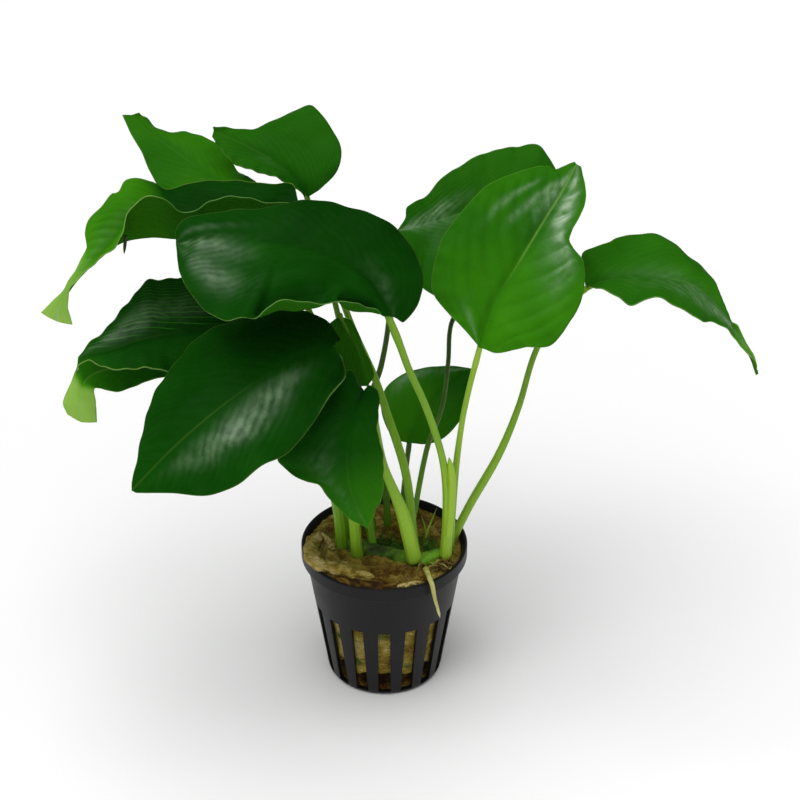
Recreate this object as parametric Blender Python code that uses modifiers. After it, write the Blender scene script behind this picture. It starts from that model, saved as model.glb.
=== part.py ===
"""An anubias barteri in the small net pot that it is sold in.

Metres, +Z up. The origin is the centre of the pot's underside, and the pot stands on
Z = 0. The front of the plant, from which it is usually seen, is -Y.
Places in the tables are in millimetres.
"""
import math
from collections import namedtuple

import bmesh
import bpy
from mathutils import Matrix, Vector

MM = 0.001
GAP = 0.3
WELD = 0.01
SHARP_DEGREES = 40

# The net pot, a standard 5 cm one
POT_HEIGHT = 50.0
POT_RIM_RADIUS = 27.5
POT_BASE_RADIUS = 19.0
POT_WALL = 1.2
RIM_BAND = 5.0
RIM_STEP = 0.8
RIM_CHAMFER = 0.4
BAND_FOOT = POT_HEIGHT - RIM_BAND
BASE_CHAMFER = 1.3
SLOT_COUNT = 16
SLOT_WIDTH = 4.0
SLOT_BOTTOM = 1.6
SLOT_TOP = 29.0
SLOT_RADIUS = 22.5
SLOT_REACH = 14.0
POT_STEPS = 3 * SLOT_COUNT

# The rock wool that fills the pot
WOOL_TOP = 49.0
WOOL_EDGE_RADIUS = 23.8
WOOL_EDGE_DROP = 2.4
WOOL_LUMP = 0.7
WOOL_CLEARANCE = 0.4
WOOL_RINGS = 4
WOOL_STEPS = 24

# The rhizome, which creeps over the wool, and a root over the pot's rim
RHIZOME_RADII = (3.6, 2.9)
RHIZOME = [(-15, -1, 47.6), (-7, -3, 48.0), (3, -7, 48.2), (12, -9.5, 48.2), (19, -4.5, 47.6)]
RHIZOME_POINTS = 8
ROOT_RADII = (0.95, 0.4)
ROOT = [(13.6, -17.3, 51.0), (14.5, -22.4, 51.9), (15.5, -24.8, 50.4), (16.3, -24.9, 45.8),
        (17.2, -24.3, 41.2), (18.3, -23.6, 36.0)]
ROOT_POINTS = 10

# Leaves and the stems that carry them
LEAF_THICKNESS = 1.0
LEAF_COLUMNS = 6
LEAF_ROW = 6.0
FEWEST_ROWS = 8
LEAF_BELLY = 0.05
BASE_HALF_WIDTH = 1.3
TIP_HALF_WIDTH = 0.6
STEM_POINTS = 8
SHEATH_END = (0.25, 0.7)
SOCKET_DEPTH = 2.6
SOCKET_POINTS = 4

# Colours as linear red, green and blue
POT_BLACK = (0.006, 0.006, 0.008)
WOOL_BROWN = (0.22, 0.15, 0.06)
RHIZOME_GREEN = (0.25, 0.33, 0.07)
ROOT_CREAM = (0.55, 0.55, 0.30)
STEM_GREEN = (0.16, 0.34, 0.04)
LIGHT_GREEN = (0.20, 0.42, 0.03)
MID_GREEN = (0.05, 0.22, 0.02)
DARK_GREEN = (0.015, 0.09, 0.012)
PLASTIC_ROUGHNESS = 0.4
WOOL_ROUGHNESS = 0.95
LEAF_ROUGHNESS = 0.35
STEM_ROUGHNESS = 0.45

# A blade is three curves from base to tip: its midrib and its two margins, left and right
# as seen from above with the tip ahead. A stem runs from its foot in the wool to the
# blade's base. A flared tip ends in a short edge instead of a point.
Blade = namedtuple("Blade", "rib left right stem radii green flared")

PLANT = {
    "front_large": Blade(
        rib=[(-15, -22, 138), (-28, -31, 138), (-44, -41, 132), (-60, -50, 122), (-75, -56, 108)],
        left=[(-12, -23, 133), (-11.5, -28, 131), (-14, -35, 131), (-16, -38, 130), (-21, -46, 125),
              (-27.5, -53.5, 120.5), (-30.5, -55.5, 119.5), (-36, -58.5, 118), (-42, -61, 114),
              (-52, -61.5, 110), (-63, -59.5, 109.5), (-73.5, -56.5, 107.5)],
        right=[(-13, -17, 138), (-20, -10.5, 142.5), (-30, -8, 144), (-42, -8.5, 141),
               (-52, -12, 139), (-59.5, -16, 134.5), (-67, -25.5, 129), (-71.5, -37.5, 123.5),
               (-73.5, -48.5, 115), (-75, -54, 110)],
        stem=[(-9, -8, 50), (-10, -12, 71), (-12, -14, 90), (-13, -15, 111), (-15.5, -15, 128)],
        radii=(1.7, 1.3), green=DARK_GREEN, flared=False),
    "front_hanging": Blade(
        rib=[(-6, -20, 121), (-9, -30, 118), (-11, -36, 109), (-10, -37, 95), (-5, -33, 78)],
        left=[(-4.5, -18.5, 122), (-2, -18.5, 120), (-1.5, -19.5, 118), (-2, -25, 112.5),
              (0, -29.5, 105), (0.5, -31.5, 97.5), (-0.5, -32.5, 90.5), (-3, -33, 83)],
        right=[(-10.5, -20, 128.5), (-14, -23.5, 125.5), (-23, -34, 117.5), (-32, -40, 109),
               (-30.5, -40, 106), (-25, -41, 102), (-20, -40.5, 100), (-17, -39, 93.5),
               (-11.5, -36, 85)],
        stem=[(10, -12, 50), (7, -13, 70), (1, -15, 90), (-2, -17, 106.5), (-3.5, -18, 116)],
        radii=(2.5, 1.25), green=DARK_GREEN, flared=False),
    "inner": Blade(
        rib=[(-14, 2, 135), (-10, -2, 128), (-7, -5, 121), (-5, -8, 115)],
        left=[(-20, -3, 131), (-19, -8, 123), (-12, -10, 117)],
        right=[(-10, 2, 133), (-6, 0, 123), (-3, -4, 117)],
        stem=[(-4, -2, 50), (-6, 2, 69), (-7, 5, 90), (-9, 8, 112), (-13.5, 8.5, 127)],
        radii=(1.2, 0.9), green=MID_GREEN, flared=False),
    "left_middle": Blade(
        rib=[(-43, 2, 134), (-57, -2, 132), (-72, -8, 133), (-84, -12, 131), (-93, -14, 129),
             (-95.5, -15, 124)],
        left=[(-45, -6, 130), (-55, -13, 126), (-66, -16.5, 125.5), (-74, -19, 128),
              (-83, -18.5, 127), (-86.5, -18, 128.5), (-91, -16.5, 130)],
        right=[(-48, 17, 140), (-57, 21, 141), (-66, 18.5, 140), (-71, 15.5, 140.5),
               (-75, 12.5, 142), (-78, 8, 140.5), (-82, 2, 136.5), (-89.5, -8, 132),
               (-94, -13, 129), (-94.5, -14, 127)],
        stem=[(-14, -3, 50), (-15, -5, 67), (-19, -4, 89), (-27, -2, 110), (-36, 0, 127)],
        radii=(1.8, 1.2), green=DARK_GREEN, flared=False),
    "left_low": Blade(
        rib=[(-48, 10, 117), (-62, 6, 116), (-76, 4, 115), (-87, 1, 116), (-93.5, -3, 115),
             (-96, -6, 110), (-96, -7, 101)],
        left=[(-53, 6, 114), (-65, 3, 113), (-74, 0.5, 112), (-79, -1.5, 111), (-84.5, -3.5, 110),
              (-91, -5, 112.5), (-91, -6, 108), (-91, -7, 101)],
        right=[(-52, 16, 120), (-70.5, 10.5, 114), (-85.5, 5.5, 118), (-95, -1, 117.5),
               (-99, -4, 112), (-101.5, -5.5, 108), (-100.5, -6, 103.5)],
        stem=[(-11, 4, 47), (-13, 5, 65), (-19, 7, 83), (-32, 9, 104)],
        radii=(1.4, 1.0), green=MID_GREEN, flared=True),
    "left_arching": Blade(
        rib=[(-26, 14, 168), (-37, 12, 163), (-49, 10, 160), (-63, 9, 159), (-72, 8, 160),
             (-81, 4, 160), (-89, -2, 156), (-95, -6, 151), (-100, -7, 143), (-101, -7, 138)],
        left=[(-30, 10, 170.5), (-34, 8, 171), (-42, 6.5, 174), (-52.5, 5, 174), (-57, 4.5, 171.5),
              (-61.5, 3.5, 170.5), (-65, 2.5, 174.5), (-70, 1.5, 177.5), (-74, 0, 176),
              (-77.5, -1.5, 172.5), (-80, -4.5, 166.5), (-82, -5.5, 163), (-90.5, -7, 157),
              (-95, -8, 151.5), (-97, -9, 145), (-96, -9, 138)],
        right=[(-28.5, 21, 171.5), (-38, 26, 169), (-47, 27, 170), (-57, 28, 169), (-68.5, 25, 167.5),
               (-72, 24, 170), (-77, 21.5, 172.5), (-80.5, 19.5, 173), (-82.5, 16.5, 170.5),
               (-84.5, 15.5, 170.5), (-87.5, 11.5, 167.5), (-91, 8.5, 165), (-92, 6, 161.5),
               (-91.5, 3, 158.5), (-95, -3, 153), (-101, -5, 145.5), (-106, -5, 140)],
        stem=[(10, -6, 51), (7, 0, 77), (1, 6, 96), (-3, 9, 108), (-10, 12, 125), (-18, 15, 148)],
        radii=(1.3, 0.95), green=LIGHT_GREEN, flared=True),
    "top_large": Blade(
        rib=[(3, -18, 146), (-5, -15, 158), (-19, -13, 166), (-35, -11, 169), (-51, -10, 170),
             (-62.5, -10, 167)],
        left=[(0, -21, 148), (-2, -23.5, 152), (-9, -30, 158.5), (-18, -34, 160),
              (-22.5, -35.5, 161.5), (-30, -37, 162.5), (-34, -38.5, 161), (-37, -39.5, 158.5),
              (-40.5, -41, 160), (-45.5, -39, 157), (-51, -35, 157), (-55, -31, 159),
              (-58.5, -26, 161), (-61, -20.5, 164)],
        right=[(6.5, -16, 143), (11.5, -12, 148.5), (11.5, -6.5, 156.5), (6, -1.5, 165),
               (-3.5, 2, 170.5), (-15, 3, 174.5), (-25.5, 3, 174), (-37, 0, 173.5),
               (-47, -1, 173.5), (-54, -2.5, 173.5), (-59.5, -4, 173), (-62.5, -6.5, 170)],
        stem=[(20, -9, 49.5), (20.5, -10, 66), (20, -11, 80), (18, -12.5, 94), (13, -14, 112),
              (8, -16, 126), (5, -17, 136)],
        radii=(2.0, 1.15), green=DARK_GREEN, flared=False),
    "back_left": Blade(
        rib=[(-46, 34, 156), (-54, 40, 163), (-64, 46, 168), (-74, 52, 173), (-81.5, 56, 178.5)],
        left=[(-50, 29, 158), (-58, 30, 159), (-70, 35, 161), (-74.5, 41, 164.5), (-78, 47, 169.5),
              (-81, 51, 173), (-84.5, 56, 178.5)],
        right=[(-40, 38, 162), (-43, 40, 164), (-46.5, 46.5, 163), (-51, 50.5, 167.5),
               (-56, 53.5, 171.5), (-63, 57, 172), (-69.5, 58.5, 171.5), (-74, 59, 172.5),
               (-78, 58.5, 176.5), (-79, 57.5, 178.5)],
        stem=[(-4, 10, 47), (-7, 15, 64), (-14, 21, 92), (-26, 28, 126), (-39, 33, 147)],
        radii=(1.3, 0.9), green=MID_GREEN, flared=True),
    "back_top": Blade(
        rib=[(-24, 30, 162), (-29, 34, 168), (-37, 38, 172), (-46, 41, 176), (-54, 42, 179.5)],
        left=[(-27.5, 30, 165), (-31, 30.5, 167), (-36, 31, 169.5), (-43, 32, 171),
              (-48, 34.5, 172.5), (-52.5, 38.5, 176), (-54.5, 41, 178)],
        right=[(-20, 31, 164.5), (-14.5, 34.5, 169.5), (-13.5, 39, 175), (-17, 45.5, 179.5),
               (-22.5, 51, 183.5), (-25.5, 52.5, 183), (-32, 53, 179.5), (-41, 49.5, 177),
               (-47, 46, 178.5), (-54, 42, 181)],
        stem=[(-5, 4, 52), (-7, 10, 72), (-9, 14, 92), (-12, 17, 110), (-15, 20, 126),
              (-20, 25, 146)],
        radii=(1.2, 0.85), green=MID_GREEN, flared=True),
    "right_back": Blade(
        rib=[(4, 33, 148), (15, 38, 149), (26, 43, 150), (41, 48, 154), (58, 52, 157)],
        left=[(7, 37.5, 151), (7.5, 40, 153.5), (14, 45.5, 155), (17.5, 49, 158), (21.5, 52, 160),
              (26, 54.5, 161.5), (29, 56, 163), (36, 59, 164.5), (44, 61, 165), (50, 60, 166),
              (55.5, 57, 160)],
        right=[(7, 29, 147), (11, 24, 142), (13, 18, 136), (20, 15, 134), (29, 16, 135),
               (40, 24, 139), (52, 38, 146)],
        stem=[(1, 8, 52), (0, 10, 68), (-3, 14, 85), (-4, 17, 96), (-2, 20, 106), (1.5, 24, 120),
              (3, 29, 134)],
        radii=(1.1, 0.8), green=MID_GREEN, flared=False),
    "right_inner": Blade(
        rib=[(27, 36, 121), (38, 44, 123), (50, 52, 123), (61, 58, 119)],
        left=[(29, 40, 125), (37, 50, 127), (47, 58, 126), (56, 61, 122)],
        right=[(31, 35, 118), (43, 41, 116), (55, 52, 116)],
        stem=[(9, 4, 52), (14, 14, 77), (19, 20, 90), (21, 26, 103), (22, 31, 115)],
        radii=(1.0, 0.75), green=MID_GREEN, flared=False),
    "right_bright": Blade(
        rib=[(30, -6, 128), (34, 0, 139), (42, 8, 150), (50, 17, 160), (57, 24, 169),
             (60.5, 27.5, 175)],
        left=[(26.5, -5.5, 132.5), (16.5, -1.5, 143), (15, 1, 147), (16.5, 6.5, 154), (19, 11, 159),
              (30.5, 19.5, 170), (36.5, 22.5, 172.5), (48, 27, 174.5), (52, 27.5, 174.5),
              (54, 28, 173), (57, 28.5, 174), (60, 29, 175)],
        right=[(35.5, -9.5, 128), (44, -11, 131), (52, -9.5, 131), (59, -4, 138), (62, 0.5, 143),
               (62.5, 6, 151), (58.5, 9.5, 156), (58, 11, 158), (62, 17.5, 163),
               (63.5, 21.5, 166.5), (63, 26, 170), (62, 27.5, 174)],
        stem=[(21.5, -3, 48), (23, -5, 80), (25, -6, 101), (27, -6, 113)],
        radii=(1.15, 0.85), green=LIGHT_GREEN, flared=False),
    "right_drooping": Blade(
        rib=[(64, 16, 138), (75, 15, 142), (87, 14, 142), (98, 12, 140), (107, 11, 131.5),
             (114, 10, 122), (117, 9.5, 117), (120, 9, 109)],
        left=[(63.5, 26, 144), (72, 31, 145), (75, 31.5, 147), (84.5, 31.5, 147.5),
              (91.5, 30, 145.5), (99.5, 24.5, 140.5), (106.5, 18, 135.5), (110, 12, 127),
              (112.5, 11, 126), (117, 10, 118.5), (119, 9.5, 115)],
        right=[(67, 9.5, 140.5), (73, 4, 141), (77.5, 0, 140.5), (85, 0.5, 142.5), (94.5, -1.5, 138),
               (99.5, -1, 134.5), (103.5, 2.5, 132.5), (109, 6, 127), (115.5, 8.5, 118),
               (118.5, 9, 114)],
        stem=[(21.5, 2.5, 46), (28, 3, 62), (37.5, 4, 82), (43.5, 7, 98), (48.5, 11, 116),
              (56, 15, 130)],
        radii=(1.3, 0.9), green=MID_GREEN, flared=False),
    "back_low": Blade(
        rib=[(8, 24, 73), (12, 29, 79), (18, 36, 84), (24, 41, 87), (30, 44, 90)],
        left=[(3, 25, 74), (-1, 31, 81), (0, 37, 86), (6, 42, 89), (15, 45, 90), (24, 46, 90)],
        right=[(14, 22, 74), (20, 24, 75), (26, 29, 80), (29, 37, 85)],
        stem=[(6, 10, 51), (7, 17, 65)],
        radii=(1.1, 0.8), green=MID_GREEN, flared=False),
}


def curve_through(places):
    """A function of 0 to 1 that follows a smooth curve through the places, by distance."""
    knots = [Vector(place) for place in places]
    stops = [0.0]
    for start, end in zip(knots, knots[1:]):
        stops.append(stops[-1] + (end - start).length)
    slopes = []
    for i, knot in enumerate(knots):
        before = max(i - 1, 0)
        after = min(i + 1, len(knots) - 1)
        slopes.append((knots[after] - knots[before]) / (stops[after] - stops[before]))

    def at(share):
        distance = min(max(share, 0.0), 1.0) * stops[-1]
        i = 0
        while i < len(knots) - 2 and distance > stops[i + 1]:
            i += 1
        span = stops[i + 1] - stops[i]
        t = (distance - stops[i]) / span
        from_start = knots[i] * (1 + 2 * t) + slopes[i] * span * t
        from_end = knots[i + 1] * (3 - 2 * t) - slopes[i + 1] * span * (1 - t)
        return from_start * (1 - t) ** 2 + from_end * t ** 2

    return at


def margin_of(blade, side):
    """The places of a margin, joined to the midrib's two ends."""
    places = [Vector(place) for place in getattr(blade, side)]
    base = Vector(blade.rib[0])
    tip = Vector(blade.rib[-1])
    start = base + (places[0] - base).normalized() * BASE_HALF_WIDTH
    if blade.flared:
        return [start] + places
    return [start] + places + [tip + (places[-1] - tip).normalized() * TIP_HALF_WIDTH]


def eased(share):
    """Rows of a blade stand closer near its two ends."""
    return 0.5 * share + 0.25 * (1 - math.cos(math.pi * share))


def length_of(places):
    return sum((Vector(b) - Vector(a)).length for a, b in zip(places, places[1:]))


def rows_of(blade):
    """How many rows of faces a blade has, one for each stretch of its longer margin."""
    margin = max(length_of(blade.left), length_of(blade.right))
    return max(FEWEST_ROWS, round(margin / LEAF_ROW))


def blade_surface(blade):
    """A function that places a spot of the blade, from across -1 to 1 and along 0 to 1."""
    rib = curve_through(blade.rib)
    left = curve_through(margin_of(blade, "left"))
    right = curve_through(margin_of(blade, "right"))

    def at(across, along):
        middle = rib(along)
        edge = right(along) if across > 0 else left(along)
        ahead = rib(along + 0.02) - rib(along - 0.02)
        up = (right(along) - left(along)).cross(ahead).normalized()
        reach = edge - middle
        s = abs(across)
        belly = 4 * s * (1 - s) * LEAF_BELLY * reach.length
        return middle + reach * s + up * belly

    return at


def collection(name):
    made = bpy.data.collections.new(name)
    bpy.context.scene.collection.children.link(made)
    return made


def paint(obj, colour, roughness):
    """Give a piece a material of its own."""
    made = bpy.data.materials.new(obj.name)
    made.use_nodes = True
    shader = made.node_tree.nodes["Principled BSDF"]
    shader.inputs["Base Color"].default_value = (*colour, 1)
    shader.inputs["Roughness"].default_value = roughness
    shader.inputs["Metallic"].default_value = 0.0
    obj.data.materials.append(made)


def place(name, data, home):
    obj = bpy.data.objects.new(name, data)
    home.objects.link(obj)
    return obj


def mesh_from(bm, name):
    mesh = bpy.data.meshes.new(name)
    bm.to_mesh(mesh)
    bm.free()
    mesh.shade_smooth()
    mesh.set_sharp_from_angle(angle=math.radians(SHARP_DEGREES))
    return mesh


def make_leaf(name, blade, home):
    """A thin sheet shaped from a flat grid, with its thickness from Solidify."""
    surface = blade_surface(blade)
    bm = bmesh.new()
    bmesh.ops.create_grid(bm, x_segments=LEAF_COLUMNS, y_segments=rows_of(blade), size=1.0)
    for vert in bm.verts:
        vert.co = surface(vert.co.x, eased((vert.co.y + 1) / 2)) * MM
    leaf = place(name, mesh_from(bm, name), home)
    sheet = leaf.modifiers.new("Blade thickness", "SOLIDIFY")
    sheet.thickness = LEAF_THICKNESS * MM
    sheet.offset = 0.0
    paint(leaf, blade.green, LEAF_ROUGHNESS)


def tube(name, places, radii, count, home, taper=(0.0, 1.0)):
    """A round stalk along a smooth curve, from one radius to another over the taper."""
    path = curve_through(places)
    line = bpy.data.curves.new(name, "CURVE")
    line.dimensions = "3D"
    line.bevel_depth = MM
    line.bevel_resolution = 2
    line.use_fill_caps = True
    spline = line.splines.new("POLY")
    spline.points.add(count - 1)
    for i, spot in enumerate(spline.points):
        share = i / (count - 1)
        spot.co = (*(path(share) * MM), 1)
        narrowed = min(max((share - taper[0]) / (taper[1] - taper[0]), 0.0), 1.0)
        spot.radius = radii[0] + (radii[1] - radii[0]) * narrowed
    return place(name, line, home)


def solid_from(curve, home):
    """A curve object made a closed mesh object of the same name, which Booleans can use."""
    bpy.context.view_layer.update()
    seen = curve.evaluated_get(bpy.context.evaluated_depsgraph_get())
    mesh = bpy.data.meshes.new_from_object(seen)
    bm = bmesh.new()
    bm.from_mesh(mesh)
    bmesh.ops.remove_doubles(bm, verts=bm.verts, dist=WELD * MM)
    bm.to_mesh(mesh)
    bm.free()
    name = curve.name
    turn = curve.matrix_world.copy()
    bpy.data.objects.remove(curve)
    solid = place(name, mesh, home)
    solid.matrix_world = turn
    return solid


def cut(obj, cutter):
    """Take the cutter's shape away from a piece."""
    cutter.hide_render = True
    cutter.display_type = "WIRE"
    hole = obj.modifiers.new("Room for " + cutter.name, "BOOLEAN")
    hole.operation = "DIFFERENCE"
    hole.solver = "EXACT"
    hole.object = cutter


def stem_path(blade):
    """The stem's places, from its socket in the wool to just short of the blade."""
    foot = Vector(blade.stem[0])
    down = (foot - Vector(blade.stem[1])).normalized()
    foot = foot + down * ((foot.z - WOOL_TOP + SOCKET_DEPTH) / -down.z)
    base = Vector(blade.rib[0])
    last = Vector(blade.stem[-1])
    end = base + (last - base).normalized() * (GAP + (LEAF_THICKNESS + blade.radii[1]) / 2)
    return [foot] + blade.stem[1:] + [end]


def make_stem(name, blade, home):
    stem = tube(name, stem_path(blade), blade.radii, STEM_POINTS, home, SHEATH_END)
    paint(stem, STEM_GREEN, STEM_ROUGHNESS)


def make_socket(name, blade, home):
    """A cutter that leaves room for a stem's foot."""
    places = stem_path(blade)
    path = curve_through(places)
    reach = 2 * SOCKET_DEPTH / length_of(places)
    below = path(0) + (path(0) - path(reach)).normalized() * GAP
    route = [below, path(reach / 2), path(reach)]
    room = blade.radii[0] + GAP
    return solid_from(tube(name, route, (room, room), SOCKET_POINTS, home), home)


def wall_radius(height):
    """The outer radius of the pot's wall under its rim band."""
    share = height / POT_HEIGHT
    return POT_BASE_RADIUS + (POT_RIM_RADIUS - RIM_STEP - POT_BASE_RADIUS) * share


def make_slots(home):
    """Upright boxes around the pot, which cut its slots."""
    bm = bmesh.new()
    size = Matrix.Diagonal((SLOT_REACH * MM, SLOT_WIDTH * MM, (SLOT_TOP - SLOT_BOTTOM) * MM, 1))
    middle = Matrix.Translation(Vector((SLOT_RADIUS, 0, (SLOT_TOP + SLOT_BOTTOM) / 2)) * MM)
    for i in range(SLOT_COUNT):
        turn = Matrix.Rotation(math.tau * i / SLOT_COUNT - math.pi / 2, 4, "Z")
        bmesh.ops.create_cube(bm, size=1.0, matrix=turn @ middle @ size)
    return place("pot_slots", mesh_from(bm, "pot_slots"), home)


def make_pot(home, cutters):
    """The net pot, turned from the section of its wall and slotted all round."""
    rim_inside = POT_RIM_RADIUS - POT_WALL
    section = [
        (0, POT_WALL),
        (wall_radius(POT_WALL) - POT_WALL, POT_WALL),
        (wall_radius(BAND_FOOT) - POT_WALL, BAND_FOOT),
        (rim_inside, POT_HEIGHT - RIM_CHAMFER),
        (rim_inside + RIM_CHAMFER, POT_HEIGHT),
        (POT_RIM_RADIUS - RIM_CHAMFER, POT_HEIGHT),
        (POT_RIM_RADIUS, POT_HEIGHT - RIM_CHAMFER),
        (POT_RIM_RADIUS, BAND_FOOT + RIM_CHAMFER),
        (wall_radius(BAND_FOOT), BAND_FOOT),
        (wall_radius(BASE_CHAMFER), BASE_CHAMFER),
        (POT_BASE_RADIUS - BASE_CHAMFER, 0),
        (0, 0),
    ]
    bm = bmesh.new()
    verts = [bm.verts.new((radius * MM, 0, height * MM)) for radius, height in section]
    for pair in zip(verts, verts[1:]):
        bm.edges.new(pair)
    pot = place("net_pot", mesh_from(bm, "net_pot"), home)
    screw = pot.modifiers.new("Turn", "SCREW")
    screw.steps = POT_STEPS
    screw.render_steps = POT_STEPS
    screw.use_merge_vertices = True
    screw.merge_threshold = WELD * MM
    screw.use_smooth_shade = True
    cut(pot, make_slots(cutters))
    paint(pot, POT_BLACK, PLASTIC_ROUGHNESS)


def wool_top(radius, angle):
    """The height of the wool's torn top, which falls away towards the pot's wall."""
    ripple = math.sin(3 * angle + 0.8) + 0.7 * math.sin(5 * angle - 1.1 + radius * 0.2)
    share = radius / WOOL_EDGE_RADIUS
    return WOOL_TOP - WOOL_EDGE_DROP * share ** 4 + WOOL_LUMP * ripple * min(2 * share, 1)


def make_wool(home):
    """The block of rock wool, turned from its section, with an uneven top."""
    floor = POT_WALL + GAP
    tops = [(WOOL_EDGE_RADIUS * i / WOOL_RINGS, WOOL_TOP) for i in range(WOOL_RINGS + 1)]
    sides = [(wall_radius(height) - POT_WALL - WOOL_CLEARANCE, height)
             for height in (BAND_FOOT, floor)]
    bm = bmesh.new()
    verts = [bm.verts.new((radius * MM, 0, height * MM))
             for radius, height in tops + sides + [(0, floor)]]
    edges = [bm.edges.new(pair) for pair in zip(verts, verts[1:])]
    bmesh.ops.spin(bm, geom=verts + edges, axis=(0, 0, 1), cent=(0, 0, 0),
                   angle=math.tau, steps=WOOL_STEPS, use_merge=True)
    bmesh.ops.remove_doubles(bm, verts=bm.verts, dist=WELD * MM)
    bmesh.ops.recalc_face_normals(bm, faces=bm.faces)
    for vert in bm.verts:
        if vert.co.z > (BAND_FOOT + GAP) * MM:
            radius = math.hypot(vert.co.x, vert.co.y) / MM
            vert.co.z = wool_top(radius, math.atan2(vert.co.y, vert.co.x)) * MM
    wool = place("rock_wool", mesh_from(bm, "rock_wool"), home)
    paint(wool, WOOL_BROWN, WOOL_ROUGHNESS)
    return wool


def make_rhizome(home, wool, cutters):
    """The creeping stem, bedded in the wool's top."""
    room = [radius + GAP for radius in RHIZOME_RADII]
    bed = tube("rhizome_bed", RHIZOME, room, RHIZOME_POINTS, cutters)
    cut(wool, solid_from(bed, cutters))
    rhizome = solid_from(tube("rhizome", RHIZOME, RHIZOME_RADII, RHIZOME_POINTS, home), home)
    paint(rhizome, RHIZOME_GREEN, STEM_ROUGHNESS)
    return rhizome


def make_root(home):
    """The root that leaves the rhizome and hangs over the pot's rim."""
    paint(tube("hanging_root", ROOT, ROOT_RADII, ROOT_POINTS, home), ROOT_CREAM, STEM_ROUGHNESS)


def main():
    for obj in list(bpy.data.objects):
        bpy.data.objects.remove(obj)
    home = collection("anubias_barteri")
    cutters = collection("cutters")
    make_pot(home, cutters)
    wool = make_wool(home)
    rhizome = make_rhizome(home, wool, cutters)
    make_root(home)
    for name, blade in PLANT.items():
        make_leaf("leaf_" + name, blade, home)
        make_stem("stem_" + name, blade, home)
        socket = make_socket("socket_" + name, blade, cutters)
        cut(wool, socket)
        cut(rhizome, socket)


main()
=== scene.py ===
"""An anubias barteri in its net pot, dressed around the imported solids.

The frame is in metres, +Z up, and the pot stands on Z = 0 with its axis at the origin.
The front of the plant is -Y. Places in the tables below are in millimetres.
"""
import math
import random
from collections import namedtuple

import bmesh
import bpy
from bpy.props import FloatProperty, FloatVectorProperty, IntProperty, PointerProperty
from bpy.types import Operator, Panel, PropertyGroup
from mathutils import Matrix, Vector, noise


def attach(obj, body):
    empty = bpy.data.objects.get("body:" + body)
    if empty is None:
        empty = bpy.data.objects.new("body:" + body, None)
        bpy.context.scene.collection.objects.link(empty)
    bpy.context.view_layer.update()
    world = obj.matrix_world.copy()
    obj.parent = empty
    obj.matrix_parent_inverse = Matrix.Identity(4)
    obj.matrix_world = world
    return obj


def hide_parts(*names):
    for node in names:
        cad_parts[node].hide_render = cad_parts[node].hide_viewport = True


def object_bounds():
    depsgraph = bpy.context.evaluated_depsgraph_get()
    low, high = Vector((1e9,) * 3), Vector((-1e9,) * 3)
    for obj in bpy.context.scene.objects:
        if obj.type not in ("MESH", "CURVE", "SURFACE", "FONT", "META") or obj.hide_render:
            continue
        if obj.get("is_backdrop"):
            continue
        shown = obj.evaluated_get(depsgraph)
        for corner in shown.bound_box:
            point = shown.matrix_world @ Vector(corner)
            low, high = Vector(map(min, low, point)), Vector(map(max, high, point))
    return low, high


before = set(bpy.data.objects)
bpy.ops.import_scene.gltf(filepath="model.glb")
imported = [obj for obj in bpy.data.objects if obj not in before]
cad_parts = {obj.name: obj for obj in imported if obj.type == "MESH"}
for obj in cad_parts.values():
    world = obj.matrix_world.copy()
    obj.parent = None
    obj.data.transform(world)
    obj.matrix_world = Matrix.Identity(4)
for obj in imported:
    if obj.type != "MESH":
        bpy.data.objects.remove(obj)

bl_info = {
    "name": "Anubias in a net pot",
    "version": (1, 0, 0),
    "blender": (4, 5, 0),
    "location": "3D View > Sidebar > Anubias",
    "description": "Grows a potted anubias barteri, leaf by leaf, around its packed solids",
    "category": "Object",
}

MM = 0.001
BODY = "root"

# A blade is three curves from base to tip: its midrib and its two margins, left and right
# as seen from above with the tip ahead. A stem runs from its foot in the wool to the
# blade's base, and its radii are those of its foot and its top. A flared tip ends in a short
# edge instead of a point.
Blade = namedtuple("Blade", "rib left right stem radii flared", defaults=(False,))

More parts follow.
